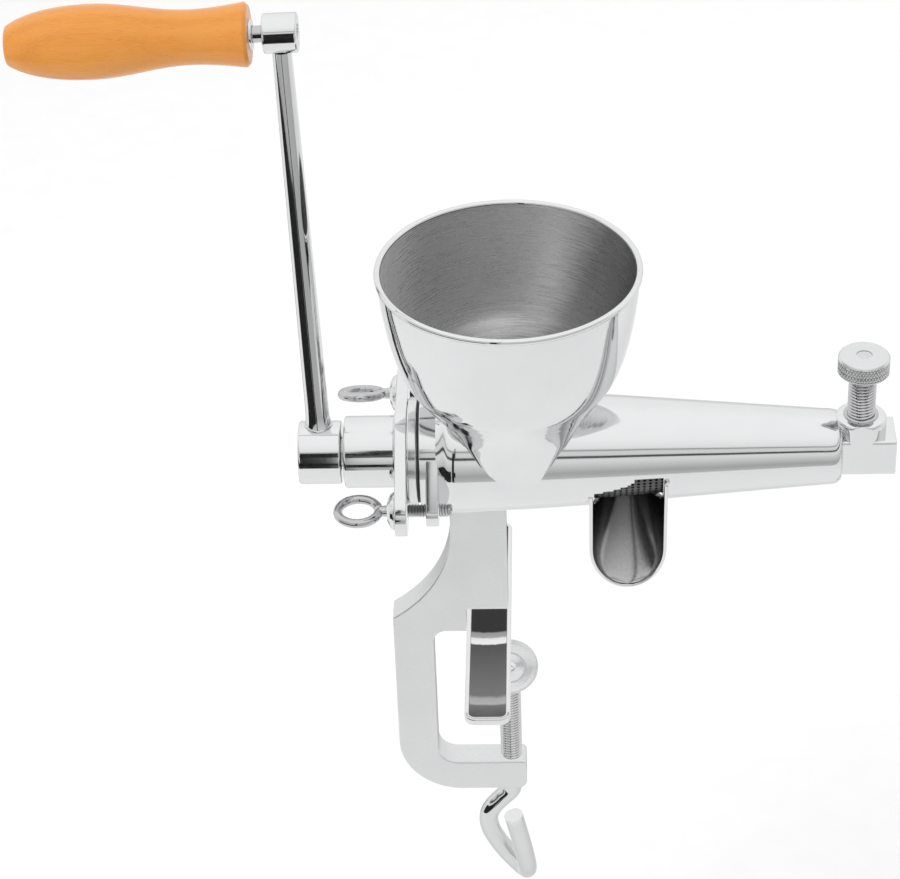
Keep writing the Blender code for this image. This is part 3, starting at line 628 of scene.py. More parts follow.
def nose_block():
    """The square end of the nose, with the bore that the pulp leaves by."""
    half, bottom, top, radius = 9.8, -8.4, 8.6, 1.1
    start, end, bore, steps = 134.6, corners("barrel")[1].x, 5.6, 192
    outline = []
    for i in range(steps):
        across, up = math.cos(2 * math.pi * i / steps), math.sin(2 * math.pi * i / steps)
        near, far = 0.0, 2 * half
        for _ in range(20):
            reach = (near + far) / 2
            side = max(abs(reach * across) - (half - radius), 0.0)
            rise = max(reach * up - (top - radius), bottom + radius - reach * up, 0.0)
            if math.hypot(side, rise) > radius:
                far = reach
            else:
                near = reach
        outline.append((near * across, near * up))
    return ringed(outline, bore, start, end, 0.7)


def nose_boss(top, radius):
    """The round boss for the pulp screw, cut flat on its front."""
    flat, bottom, bore = -9.87, 6.2, 6.3
    skin = turned([(bore, bottom), (radius, bottom), (radius, top - 0.2, 1.9), (7.4, top, 0.3),
                   (bore, top - 0.5)], steps=96, hollow=True, step=10)
    skin.points = [(x, max(y, flat), z) for x, y, z in skin.points]
    return skin


def bead(path, radius=0.8, ripple=0.1, spacing=1.6, closed=True):
    """A weld: a rod whose thickness rises and falls with each ripple."""
    length = sum((Vector(a) - Vector(b)).length for a, b in zip(path, path[1:]))
    waves = max(3, round(length / spacing))
    return swept(path, lambda share: radius * (1 + ripple * math.cos(2 * math.pi * waves * share)),
                 steps=10, closed=closed)


def barrel_pieces(polished, weld, turned_tip):
    build("barrel_shell", barrel_shell(), polished, "body", "barrel")
    rear, front = corners("barrel")[0].x, -31.2
    bore, flange_r = 21.0, 23.6
    disc = turned([(bore, rear), (flange_r, rear, 0.3), (flange_r, front, 0.5), (bore, front)], steps=128,
                  hollow=True)
    build("barrel_flange", disc, polished, "body", "barrel", place=ALONG_X)
    lugs = ringed(lobed_outline(23.2, 6.7), 22.0, -36.2, front + 0.3)
    build("barrel_lugs", lugs, polished, "body", "barrel")
    block = nose_block()
    build("nose_block", block, turned_tip, "body", "barrel")
    boss = nose_boss(16.5, 10.85)
    build("nose_boss", boss, polished, "body", "barrel", place=moved(PULP_AT.x, 0, 0))
    tip = [(138.3, 13.9 * math.cos(2 * math.pi * i / 120), 13.9 * math.sin(2 * math.pi * i / 120))
           for i in range(120)]
    build("nose_weld", bead(tip, 0.75, 0.06), weld, "body", "barrel")


# ---------------------------------------------------------------- hopper

HOPPER_LOW, HOPPER_HIGH = corners("hopper")
RIM_R, RIM_Z = (HOPPER_HIGH.x - HOPPER_LOW.x) / 2, HOPPER_HIGH.z
BOWL_DEPTH, BOWL_FULL_DEPTH, BOWL_WALL = 62.8, 66.3, 1.5
BOWL_Z = RIM_Z - BOWL_DEPTH
NECK_HALF_WIDTH, NECK_HALF_DEPTH, NECK_Z = 11.0, 25.3, -1.0
NECK_LEAN = 1.7
BEAD_R = 1.4


def bowl_radius(z):
    """Outer radius of the bowl: nearly upright at the rim and drawn in lower down."""
    return (RIM_R - 1.0) * (1 - ((RIM_Z - z) / BOWL_FULL_DEPTH) ** 1.5) ** (1 / 5.5)


def raw_hopper_point(u, v, z):
    """The bowl, or below it the neck, which runs from round to a narrow rectangle."""
    share = max(0.0, (BOWL_Z - z) / (BOWL_Z - NECK_Z))
    radius = bowl_radius(max(z, BOWL_Z))
    share = share ** (1.15 + 0.25 * u)
    power = 9.0
    square = (abs(u) ** power + abs(v) ** power) ** (1 / power)
    corner_x = NECK_HALF_WIDTH * u / square + NECK_LEAN
    corner_y = NECK_HALF_DEPTH * v / square
    return (radius * u * (1 - share) + corner_x * share, radius * v * (1 - share) + corner_y * share)


def hopper_point(angle, z, inset):
    """A point of the bowl or neck, with the bend between the two run smooth."""
    u, v = math.cos(angle), math.sin(angle)
    reach = 9.0 * min(1.0, max(0.0, (RIM_Z - 6.0 - z) / 12.0))
    x = y = 0.0
    for k in range(-4, 5):
        one = raw_hopper_point(u, v, max(z + reach * k / 4, NECK_Z - 4.0))
        x, y = x + one[0] / 9, y + one[1] / 9
    length = math.hypot(x, y)
    return Vector((x * (1 - inset / length), y * (1 - inset / length), z))


def neck_bottom(angle, inset):
    """Where the neck meets the barrel at this angle, found by halving."""
    low, high = NECK_Z, BOWL_Z
    for _ in range(24):
        middle = (low + high) / 2
        point = hopper_point(angle, middle, inset)
        if math.hypot(point.y, point.z) > eased_barrel_radius(point.x) - 0.15:
            high = middle
        else:
            low = middle
    return high


def hopper_skin(steps=192):
    angles = [2 * math.pi * i / steps for i in range(steps)]
    neck_rows, bowl_rows = 26, 40
    def side(inset):
        bottoms = [neck_bottom(a, inset) for a in angles]
        rows = []
        for k in range(neck_rows):
            share = k / neck_rows
            rows.append([hopper_point(a, b + (BOWL_Z - b) * share, inset) for a, b in zip(angles, bottoms)])
        for k in range(bowl_rows + 1):
            z = BOWL_Z + (RIM_Z - 2.6 - BOWL_Z) * (k / bowl_rows)
            rows.append([hopper_point(a, z, inset) for a in angles])
        return rows
    outer, inner = side(0.0), side(BOWL_WALL)
    lip = [circle(RIM_R - 2.3, steps, RIM_Z - 2.9), circle(RIM_R - 2.3, steps, RIM_Z - 2.3)]
    for k in range(15):
        turn = math.radians(-100 + 300 * k / 14)
        radius = RIM_R - BEAD_R + BEAD_R * math.cos(turn)
        lip.append(circle(radius, steps, RIM_Z - BEAD_R + BEAD_R * math.sin(turn)))
    rows = outer + lip + list(reversed(inner))
    # Look 2 on the three strips under the rolled bead is the near-black groove material: painted shade in the
    # groove. Look 1 is the inside, with its painted reflection and shade.
    looks = [0] * (len(outer) - 1) + [2, 2, 2] + [0] * (len(lip) - 4) + [1] * (len(inner) + 2)
    skin = Skin()
    skin.grid(rows, looks, loop=True)
    return skin, outer[0]


def hopper_pieces(polished, inside, groove, weld):
    skin, seam = hopper_skin()
    build("hopper_bowl", skin, [polished, inside, groove], "body", "hopper")
    side_seams = [[p for p in seam if abs(p.y) < 21 and (p.x - NECK_LEAN) * side > 0] for side in (-1, 1)]
    welds = Skin()
    for path in side_seams:
        welds.add(bead(sorted(path, key=lambda p: p.y), 0.5, 0.08, closed=False))
    build("hopper_weld", welds, weld, "body", "hopper")


# ---------------------------------------------------------------- juice spout and strainer

SPOUT_X, SPOUT_HALF, SPOUT_WALL = 49.0, 16.4, 1.3
SPOUT_TOP, SPOUT_ARC = -2.0, -42.0
SPOUT_DROP = 1.45 * SPOUT_HALF


def spout_point(share, across, inset):
    """A point of the scoop: share runs down to the lip, across runs from side to side."""
    straight = 0.62
    if share <= straight:
        z = SPOUT_TOP + (SPOUT_ARC - SPOUT_TOP) * share / straight
        width = SPOUT_HALF - inset
    else:
        angle = math.pi / 2 * (share - straight) / (1 - straight)
        z = SPOUT_ARC - (SPOUT_DROP - inset) * math.sin(angle)
        width = (SPOUT_HALF - inset) * math.cos(angle)
    depth_share = (z - SPOUT_TOP) / (-SPOUT_DROP + SPOUT_ARC - SPOUT_TOP)
    rim_y = -23.0 + 12.0 * depth_share
    depth = max(0.0, (32.0 - inset) * (1 - depth_share ** 1.25))
    angle = math.pi * across
    point = Vector((SPOUT_X - width * math.cos(angle), rim_y + depth * math.sin(angle), z))
    return point


def spout_start(across, inset):
    """The share at which this line of the scoop leaves the barrel."""
    low, high = 0.0, 0.6
    for _ in range(22):
        middle = (low + high) / 2
        point = spout_point(middle, across, inset)
        if math.hypot(point.y, point.z) > eased_barrel_radius(point.x) - 0.2:
            high = middle
        else:
            low = middle
    return high


def spout_pieces(polished, inside, weld):
    rows, across = 56, 56
    skin = Skin()
    sheets = []
    for inset, look in ((0.0, 0), (SPOUT_WALL, 1)):
        starts = [spout_start(i / across, inset) for i in range(across + 1)]
        points = []
        for k in range(rows + 1):
            run = 0.985 * k / rows
            points.append([spout_point(s + (1 - s) * run, i / across, inset) for i, s in enumerate(starts)])
        sheets.append(skin.grid(points, look, round_=False))
    outer, inner = sheets
    for first, second in zip(range(rows), range(1, rows + 1)):
        for end in (0, -1):
            skin.face([outer[first][end], outer[second][end], inner[second][end], inner[first][end]])
    for row in (0, -1):
        skin.strip(outer[row], inner[row], 0, round_=False)
    build("juice_spout_shell", skin, [polished, inside], "body", "juice_spout")
    edge = []
    for i in range(2 * rows + across):
        if i < rows:
            share, side = i / rows, 0
        elif i < rows + across:
            continue
        else:
            share, side = 1 - (i - rows - across) / rows, 1
        point = spout_point(spout_start(side, 0) * (1 - share) + 0.985 * share, side, SPOUT_WALL / 2)
        edge.append(point)
    build("juice_spout_rim", swept(edge, 0.78, steps=14), polished, "body", "juice_spout")
    seam = [spout_point(spout_start(i / 60, 0), i / 60, 0) for i in range(61)]
    build("juice_spout_weld", bead(seam, 0.7, 0.1, closed=False), weld, "body", "juice_spout")


def strainer_piece(satin):
    """A cone of thin sheet with rows of round holes."""
    start, end = 22.0, 132.0
    around, along = 60, 44
    gap, wall = 0.8, 0.9
    skin = Skin()
    made = {}
    def vertex(side, k2, i2):
        """A point on the half-cell lattice of one side."""
        key = (side, k2, i2 % (2 * around))
        if key not in made:
            x = start + (end - start) * k2 / (2 * along)
            radius = barrel_radius(x) - SHEET - gap - (wall if side else 0.0)
            angle = math.pi * key[2] / around
            made[key] = skin.ring([(x, radius * math.sin(angle), radius * math.cos(angle))])[0]
        return made[key]
    border = ((0, 0), (1, 0), (2, 0), (2, 1), (2, 2), (1, 2), (0, 2), (0, 1))
    for k in range(along):
        for i in range(around):
            holes = []
            for side in (0, 1):
                ring = [vertex(side, 2 * k + a, 2 * i + b) for a, b in border]
                x0 = start + (end - start) * (k + 0.5) / along
                angle0 = 2 * math.pi * (i + 0.5) / around
                hole = []
                for a, b in border:
                    length = math.hypot(a - 1, b - 1)
                    x = x0 + (a - 1) / length * 0.68
                    radius = barrel_radius(x) - SHEET - gap - (wall if side else 0.0)
                    angle = angle0 + (b - 1) / length * 0.68 / radius
                    hole.append((x, radius * math.sin(angle), radius * math.cos(angle)))
                hole = skin.ring(hole)
                skin.strip(ring, hole)
                holes.append(hole)
            skin.strip(*holes)
    for k2 in (0, 2 * along):
        skin.strip(*([vertex(side, k2, i) for i in range(2 * around)] for side in (0, 1)))
    build("strainer_sleeve", skin, satin, "body", "strainer")


# ---------------------------------------------------------------- clamp frame and jaw

JAW_LOW, JAW_HIGH = corners("jaw_bar")


def quadratic(start, control, end, count):
    points = []
    for i in range(count + 1):
        t = i / count
        points.append(tuple((1 - t) ** 2 * a + 2 * t * (1 - t) * b + t * t * c
                            for a, b, c in zip(start, control, end)))
    return points


def frame_piece(steel, weld):
    low, high = corners("clamp_frame")
    half = high.y
    left, right = -27.6, -3.3
    outer, inner = low.x, -36.9
    arm_bottom, arm_top = low.z, -171.0
    notch_left, notch_top = JAW_LOW.x - 0.3, JAW_LOW.z + 12.3
    top = -25.4
    outline = [(right, top), (left, top)]
    outline += quadratic((left, -36.0), (left - 0.5, -68.0), (outer, -86.0), 40)
    outline += [(outer, arm_bottom, 32.0), (high.x, arm_bottom, 4.0), (high.x, arm_top, 2.0),
                (inner, arm_top, 9.0), (inner, JAW_LOW.z, 6.0), (notch_left, JAW_LOW.z),
                (notch_left, notch_top), (right, notch_top)]
    outline = rounded(outline, closed=True, step=5)
    clean = [p for i, p in enumerate(outline) if (Vector(p) - Vector(outline[i - 1])).length > 0.05]
    skin = plated(clean, -half, half, 0.8, axis="Y", segments=4)
    build("frame_plate", skin, steel, "body", "clamp_frame", sharp=28, mirrored=False)
    foot = []
    for x0, y0, x1, y1 in ((left, -half, right, -half), (right, -half, right, half),
                           (right, half, left, half), (left, half, left, -half)):
        for k in range(12):
            x, y = x0 + (x1 - x0) * k / 12, y0 + (y1 - y0) * k / 12
            foot.append((x, y, -math.sqrt(eased_barrel_radius(x) ** 2 - y * y) - 0.2))
    # The foot weld takes the near-black groove material: painted shade where the post meets the barrel.
    build("frame_weld", bead(foot, 1.0, 0.1), weld, "body", "clamp_frame",
          mirrored=False)


def tray(x0, x1, y0, y1, bottom, rim_height):
    """A pressed tray: a rounded rectangle with a raised rim and a dished floor.

    rim_height gives the rim's height above the bottom at a Y, so that the tray can taper."""
    corner, floor, lip = 4.6, 1.8, 1.9
    profile = [(0.5, 0.0), (0.12, 0.15), (0.0, 0.5), (0.0, -0.9), (0.12, -0.45), (0.35, -0.18), (0.7, 0.0),
               (lip - 0.55, 0.0), (lip - 0.25, -0.12), (lip - 0.08, -0.4), (lip, -0.8)]
    rows = []
    def loop(offset):
        inset = [(x0 + offset, y0 + offset), (x1 - offset, y0 + offset), (x1 - offset, y1 - offset),
                 (x0 + offset, y1 - offset)]
        radius = max(corner - offset, 0.9)
        return rounded([(x, y, radius) for x, y in inset], closed=True, step=9)
    for k, (offset, height) in enumerate(profile):
        row = []
        for x, y in loop(offset):
            rim = rim_height(y)
            z = height if k < 3 else rim + height
            row.append((x, y, bottom + z))
        rows.append(row)
    for k in range(1, 13):
        turn = math.pi / 2 * k / 12
        row = []
        for x, y in loop(lip + 7.0 * (1 - math.cos(turn))):
            wall = max(rim_height(y) - 0.8 - floor, 0.05)
            row.append((x, y, bottom + floor + wall * (1 - math.sin(turn))))
        rows.append(row)
    skin = Skin()
    # Look 2 on the two strips just inside the rim is the near-black groove material: painted shade. Look 1 is
    # the dish, with its painted shadow and reflections.
    looks = [0] * 9 + [2, 2] + [1] * 11
    rings = skin.grid(rows, looks)
    skin.face(rings[0], 0)
    skin.face(rings[-1], 1)
    return skin


def jaw_piece(polished, dish, groove):
    x0, x1, half = JAW_LOW.x, JAW_HIGH.x, JAW_HIGH.y
    height, tip, middle = JAW_HIGH.z - JAW_LOW.z, 3.3, 8.5
    def rim_height(y):
        """The rim falls quickly from the middle and then runs out nearly level."""
        t = min(max((abs(y) - middle) / (half + 4 - middle), 0.0), 1.0)
        t = t ** 0.8
        return (1 - t) ** 2 * height + 2 * t * (1 - t) * 4.6 + t * t * tip
    skin = tray(x0, x1, -half, half, JAW_LOW.z, rim_height)
    build("jaw_tray", skin, [polished, dish, groove], "body", "jaw_bar",
          mirrored=False)


# ---------------------------------------------------------------- rear bearing stack

def rear_pieces(machined, turned_x, weld):
    low, high = corners("bearing_cover")
    plate_rear, plate_front, sleeve_r = -49.3, -44.2, 15.5
    plate = ringed(lobed_outline(21.0, 10.8), 13.0, plate_rear, plate_front, 0.55)
    build("cover_plate", plate, machined, "body", "bearing_cover")
    bore, spigot_rear, spigot_r = 10.2, -48.3, 20.4
    sleeve = turned([(bore, low.x), (sleeve_r, low.x, 1.0), (sleeve_r, spigot_rear), (spigot_r, spigot_rear),
                     (spigot_r, high.x, 0.6), (bore, high.x)], steps=128, hollow=True)
    build("cover_sleeve", sleeve, machined, "body", "bearing_cover", place=ALONG_X)
    seam = [ALONG_X @ Vector(p) for p in circle(sleeve_r + 0.25, 120, plate_rear - 0.2)]
    build("sleeve_weld", bead(seam, 0.8, 0.08), weld, "body", "bearing_cover")
    low, high = corners("cover_ring")
    ring = turned([(21.0, low.x), (high.z, low.x, 0.5), (high.z, high.x, 0.5), (21.0, high.x)], steps=128,
                  hollow=True)
    build("cover_spacer_ring", ring, turned_x, "body", "cover_ring", place=ALONG_X)


def gasket_piece(rubber):
    low, high = corners("cover_gasket")
    bulge = high.z + 0.2
    skin = turned([(21.0, low.x), (high.z, low.x), (bulge, (low.x + high.x) / 2, 2.0), (high.z, high.x),
                   (21.0, high.x)], steps=128, hollow=True)
    build("gasket_ring", skin, rubber, "body", "cover_gasket", place=ALONG_X)


# ---------------------------------------------------------------- crank and auger

GRIP_AT = joint_at("grip_spin")
GRIP_AXIS = Vector(JOINTS["grip_spin"]["axis"])
GRIP_PLACE = Matrix.Translation(GRIP_AT) @ GRIP_AXIS.to_track_quat("Z", "Y").to_matrix().to_4x4()
GRIP_OUTER, GRIP_INNER = -110.4, -12.4     # along the handle's axis, from the middle of the crank's head
HEAD_R, HEAD_HALF = 8.1, 6.95


def hub_pieces(machined, screw_steel):
    """The hub, bored for the shaft, and its socket-headed set screw."""
    low, high = corners("crank_hub")
    radius, bore = (high.y - low.y) / 2, 6.3
    hub = turned([(bore, low.x), (radius, low.x, 1.1), (radius, high.x, 0.9), (bore, high.x)], steps=128,
                 hollow=True)
    build("hub_barrel", hub, machined, "crank", "crank_hub", place=ALONG_X)
    top, socket_floor, socket_half = 13.0, 10.4, 1.5
    outside = [(2.2, 6.6), (2.9, 7.2), (3.0, 7.6), (3.0, 12.4), (2.6, 12.9), (2.1, top)]
    rows = [circle(r, 48, z) for r, z in outside]
    for z in (top, socket_floor):
        row = []
        for x, y, _ in circle(1, 48):
            turn = math.atan2(y, x) % (math.pi / 3) - math.pi / 6
            row.append((socket_half / math.cos(turn) * x, socket_half / math.cos(turn) * y, z))
        rows.append(row)
    low, high = corners("hub_set_screw")
    build("set_screw", capped(rows), screw_steel, "crank", "hub_set_screw",
          place=moved((low.x + high.x) / 2, 0, 0) @ Matrix.Rotation(-math.pi / 2, 4, "X"))


def arm_pieces(polished, weld):
    """The crank's bar, which tapers upwards, and the weld round its foot."""
    low, high = corners("crank_hub")
    hub_r = (high.y - low.y) / 2
    reach = Vector((0, GRIP_AT.y, GRIP_AT.z))
    up = reach.normalized()
    foot = Vector((-82.2, 0, 0)) + up * (hub_r - 0.3)
    tip = Vector((-88.8, 0, 0)) + up * (reach.length - HEAD_R + 0.4)
    tip_r, taper, foot_flare, collar_r = 3.9, 1.15, 0.7, 5.4
    arm = swept([foot.lerp(tip, k / 60) for k in range(61)],
                lambda s: tip_r + taper * (1 - s) ** 0.9 + foot_flare * math.exp(-s * 70), steps=64)
    build("crank_bar", arm, polished, "crank", "crank_arm")
    turn = Matrix.Translation(foot + up * 0.5) @ up.to_track_quat("Z", "Y").to_matrix().to_4x4()
    saddle = []
    for p in (turn @ Vector(q) for q in circle(collar_r, 72)):
        along = math.sqrt(max(hub_r ** 2 - (p - up * p.dot(up)).yz.length_squared, 0.0))
        saddle.append(p + up * (along - p.dot(up)) + up * 0.15)
    build("crank_foot_weld", bead(saddle, 0.75, 0.07), weld, "crank", "crank_arm")


def head_pieces(polished, screw_steel):
    """The crank's head, the ferrule beside it and the pin that the grip turns on."""
    bore, ferrule_r = 3.7, 6.2
    head = turned([(bore, -HEAD_HALF), (HEAD_R, -HEAD_HALF, 0.9), (HEAD_R, HEAD_HALF, 0.9),
                   (bore + 0.2, HEAD_HALF, 0.2), (bore, HEAD_HALF - 0.6)], steps=96, hollow=True)
    build("crank_head_boss", head, polished, "crank", "crank_head", place=GRIP_PLACE)
    low, high = GRIP_INNER + 0.2, -HEAD_HALF - 4.2
    ferrule = turned([(bore, low), (ferrule_r - 0.5, low, 0.3), (ferrule_r, low + 0.7, 0.3),
                      (ferrule_r, high, 0.5), (bore, high)], steps=80, hollow=True)
    build("ferrule_ring", ferrule, polished, "crank", "grip_ferrule", place=GRIP_PLACE)
    low, high = GRIP_OUTER + 2.2, HEAD_HALF - 1.2
    shank_r, button_r = 3.4, 5.1
    pin = turned([(0, low), (2.0, low), (2.4, low + 0.7), (4.2, low + 0.1, 0.5), (button_r, low + 1.0, 0.6),
                  (button_r, low + 3.4), (shank_r, low + 3.4), (shank_r, high - 0.7), (2.6, high, 0.5),
                  (1.6, high), (1.3, high - 0.6), (0, high - 0.8)], steps=64)
    build("grip_pin_rod", pin, screw_steel, "crank", "grip_pin", place=GRIP_PLACE)


def auger_piece(satin):
    """Core and a helical flight with a rounded crest, in one skin."""
    start, end, pitch = -32.0, 128.0, 23.0
    around, per_turn = 72, 36
    drive_r, journal_r, core_r, core_taper, flight_r = 6.0, 8.0, 11.0, 4.0, 19.8
    low = corners("auger")[0].x
    rows = [circle(r, around, x) for r, x in ((drive_r - 0.8, low), (drive_r, low + 0.8), (drive_r, -72.3),
                                             (journal_r, -72.1), (journal_r, start - 0.4))]
    count = int((end - start) / pitch * per_turn)
    for k in range(count + 1):
        share = k / count
        x = start + (end - start) * share
        core = core_r - core_taper * share
        reach = min(barrel_radius(max(x, 11.0)) - SHEET - 3.0, flight_r)
        fade = min(1.0, share * 22, (1 - share) * 22)
        row = []
        for i in range(around):
            angle = 2 * math.pi * i / around
            phase = abs((angle / (2 * math.pi) - (x - start) / pitch) % 1.0 - 0.5)
            height = min(1.0, max(0.0, (0.105 - phase) / 0.05))
            size = core + (reach - core) * height * height * (3 - 2 * height) * fade
            row.append((size * math.cos(angle), size * math.sin(angle), x))
        rows.append(row)
    rows += [circle(4.6, around, end + 4.6), circle(3.6, around, end + 5.3)]
    build("auger_screw", capped(rows), satin, "crank", "auger", sharp=40, place=ALONG_X)


def grip_piece(wood):
    """The turned handle, flared at the crank, waisted and round at its outer end."""
    flare, waist, belly, bulb_end = GRIP_INNER - 1.4, -36.2, -76.0, GRIP_OUTER + 1.4
    flare_r, waist_r, belly_r = 13.1, 11.05, 15.1
    bore, recess_r, recess_depth, bulb_reach = 3.8, 5.6, 6.0, 39.4
    profile = [(bore, GRIP_INNER), (11.7, GRIP_INNER, 0.4), (flare_r, flare, 1.0)]
    for i in range(1, 17):
        t = i / 16
        radius = flare_r + (waist_r - flare_r) * math.sin(t * math.pi / 2)
        profile.append((radius, flare + (waist - flare) * t))
    for i in range(1, 21):
        t = i / 20
        ease = (1 - math.cos(t * math.pi)) / 2
        profile.append((waist_r + (belly_r - waist_r) * ease, waist + (belly - waist) * t))
    for i in range(1, 33):
        drop = (bulb_end - belly) * math.sin(math.pi / 2 * i / 32)
        profile.append((belly_r * math.sqrt(1 - abs(drop / bulb_reach) ** 2.2), belly + drop))
    edge = profile[-1][0]
    profile += [(edge - 0.5, GRIP_OUTER + 0.6), (edge - 1.2, GRIP_OUTER + 0.15), (edge - 2.0, GRIP_OUTER),
                (recess_r, GRIP_OUTER, 0.2), (recess_r, GRIP_OUTER + recess_depth),
                (bore, GRIP_OUTER + recess_depth)]
    build("handle_grip", turned(profile, steps=112, hollow=True), wood, "grip", "wooden_grip",
          place=GRIP_PLACE, mirrored=False)


# ---------------------------------------------------------------- fasteners

KNOB_BORE = 3.0

def eyebolt_pieces(label, polished, screw_steel):
    place = BOLT_PLACES[label]
    tilt = Matrix.Rotation(math.radians(-22.0) if label == "upper" else 0.0, 4, "X")
    ring_r, wire_r, eye_x, shank_r, shank_end = 8.6, 1.95, -65.0, 2.9, -26.0
    pitch, thread_depth, closing = 1.25, 0.55, math.radians(9)
    collar_x, face = (corner.x for corner in corners(f"eyebolt_collar_{label}"))
    path = []
    for k in range(73):
        angle = closing + (2 * math.pi - closing * 1.2) * k / 72
        path.append((eye_x + ring_r * math.cos(angle), ring_r * math.sin(angle), 0.0))
    path.append((eye_x + ring_r + 1.2, -0.6, 0.0))
    eye = swept(path, wire_r, steps=28)
    rows = [circle(1.6, 32, eye_x + ring_r - 0.2), circle(wire_r + 0.25, 32, eye_x + ring_r + 0.4),
            circle(shank_r - 0.5, 32, collar_x - 0.6)]
    rows += threaded(shank_r, thread_depth, pitch, collar_x + 0.2, shank_end, steps=32)
    rows += [circle(shank_r - 0.5, 32, shank_end + 0.4), circle(shank_r - 0.9, 32, shank_end + 0.75)]
    eye.add(capped(rows), ALONG_X)
    build(f"eyebolt_{label}_wire", eye, screw_steel, f"{label}_eyebolt", f"eyebolt_{label}",
          place=moved(0, place.y, place.z) @ tilt, mirrored=False)
    bore, collar_r = 3.2, 8.1
    collar = turned([(bore, collar_x), (4.8, collar_x + 0.2, 0.3), (7.0, collar_x + 1.3, 1.5),
                     (collar_r, face - 0.5, 0.3), (collar_r, face, 0.1), (bore, face)], steps=72, hollow=True)
    build(f"collar_{label}", collar, polished, f"{label}_collar", f"eyebolt_collar_{label}",
          place=moved(0, place.y, place.z) @ ALONG_X)


def pulp_stem_pieces(screw_steel):
    """The regulating screw's threaded stem, and the seal it passes on top of the boss."""
    low, high = corners("pulp_screw")
    radius = (high.x - low.x) / 2
    knob = corners("pulp_knob")[0].z
    rows = [circle(r, 48, z) for r, z in ((0.8, low.z), (2.6, low.z + 0.1), (4.4, low.z + 2.2),
                                         (radius - 0.6, low.z + 2.4))]
    rows += threaded(radius, 0.75, 1.5, low.z + 3.0, knob - 0.9)
    rows += [circle(r, 48, z) for r, z in ((radius - 0.8, knob - 0.4), (KNOB_BORE, knob - 0.35),
                                          (KNOB_BORE, high.z))]
    place = moved(PULP_AT.x, 0, 0)
    build("pulp_screw_stem", capped(rows), screw_steel, "pulp_stem", "pulp_screw", place=place)
    bore, base, top = radius + 0.05, 16.1, 17.5
    seal = turned([(bore, base), (7.4, base), (7.4, top - 0.5, 0.4), (6.6, top, 0.3), (bore, top)], steps=72,
                  hollow=True)
    build("pulp_seal", seal, screw_steel, "body", "barrel", place=place)


def pulp_knob_piece(turned_knob):
    """The diamond-knurled knob, with the screw's end showing in its top."""
    low, high = corners("pulp_knob")
    radius, base, top, hole = (high.x - low.x) / 2, low.z, high.z, KNOB_BORE + 0.3
    steps, diamonds, depth, levels, diamond_height = 240, 48, 0.6, 26, 1.15
    bottom, ceiling = base + 0.8, top - 1.6
    rows = [circle(r, steps, z) for r, z in ((hole, base), (radius - 1.1, base), (radius - 0.5, base + 0.35))]
    for k in range(levels + 1):
        z = bottom + (ceiling - bottom) * k / levels
        climb = (z - bottom) / diamond_height
        fade = min(1.0, (k + 0.5) / 1.5, (levels - k + 0.5) / 1.5)
        row = []
        for i in range(steps):
            angle = 2 * math.pi * i / steps
            one, two = (abs((i / steps * diamonds + way * climb / 2) % 1.0 - 0.5) * 2 for way in (1, -1))
            size = radius - depth * fade * (1 - min(one, two) ** 0.8)
            row.append((size * math.cos(angle), size * math.sin(angle), z))
        rows.append(row)
    rows += [circle(r, steps, z) for r, z in ((radius - 0.05, top - 1.45), (radius - 0.55, top - 0.55),
                                             (radius - 0.95, top - 0.2), (radius - 1.6, top), (hole, top))]
    knob = Skin()
    knob.grid(rows, loop=True)
    knob.add(turned([(0, top - 2.2), (hole, top - 2.2), (hole, top - 0.25, 0.2), (0, top - 0.12)], steps=64))
    build("pulp_knob_wheel", knob, turned_knob, "pulp_knob", "pulp_knob", sharp=24,
          place=moved(PULP_AT.x, 0, 0))


# ---------------------------------------------------------------- clamp screw and pad

PAD_BALL = joint_at("pad_tilt")

def clamp_bar_pieces(steel):
    """The threaded bar and, below it, the hook that it is bent into."""
    radius, hook_r, straight_end, top = 4.9, 4.4, -188.5, PAD_BALL.z - 6.6
    rows = [circle(2.7, 48, top), circle(radius - 1.0, 48, top), circle(radius - 0.5, 48, top - 0.5)]
    rows += reversed(threaded(radius, 0.42, 1.5, straight_end + 1.0, top - 0.8))
    bends = [(0, 0, 1.0), (0, 0, -1.0), (-0.7, 0, -4.8), (-4.5, -0.5, -8.7), (-9.3, -1.5, -14.0),
             (-11.3, -2.2, -19.6), (-10.5, -2.8, -26.0), (-7.3, -3.3, -33.1), (-2.8, -3.8, -40.4),
             (1.8, -4.2, -46.4), (4.9, -6.2, -48.3), (6.3, -9.8, -45.6), (6.1, -12.8, -38.8),
             (4.7, -14.2, -28.8), (3.2, -14.8, -20.6), (0.5, -15.2, -7.1)]
    path = smooth_path([(x, y, straight_end + z) for x, y, z in bends], 7)
    hook = swept(path, lambda s: hook_r + 0.15 * math.exp(-s * 40), steps=40)
    for name, skin in (("clamp_screw_bar", capped(rows)), ("clamp_screw_hook", hook)):
        build(name, skin, steel, "clamp_screw", "clamp_screw", sharp=38,
              place=moved(CLAMP_AT.x, 0, 0), mirrored=False)


def arc(radius, start, end, step, rise=0.0):
    """Points of a half profile on a circle round the axis, between two angles in degrees."""
    return [(radius * math.cos(math.radians(a)), rise + radius * math.sin(math.radians(a)))
            for a in range(start, end, step)]


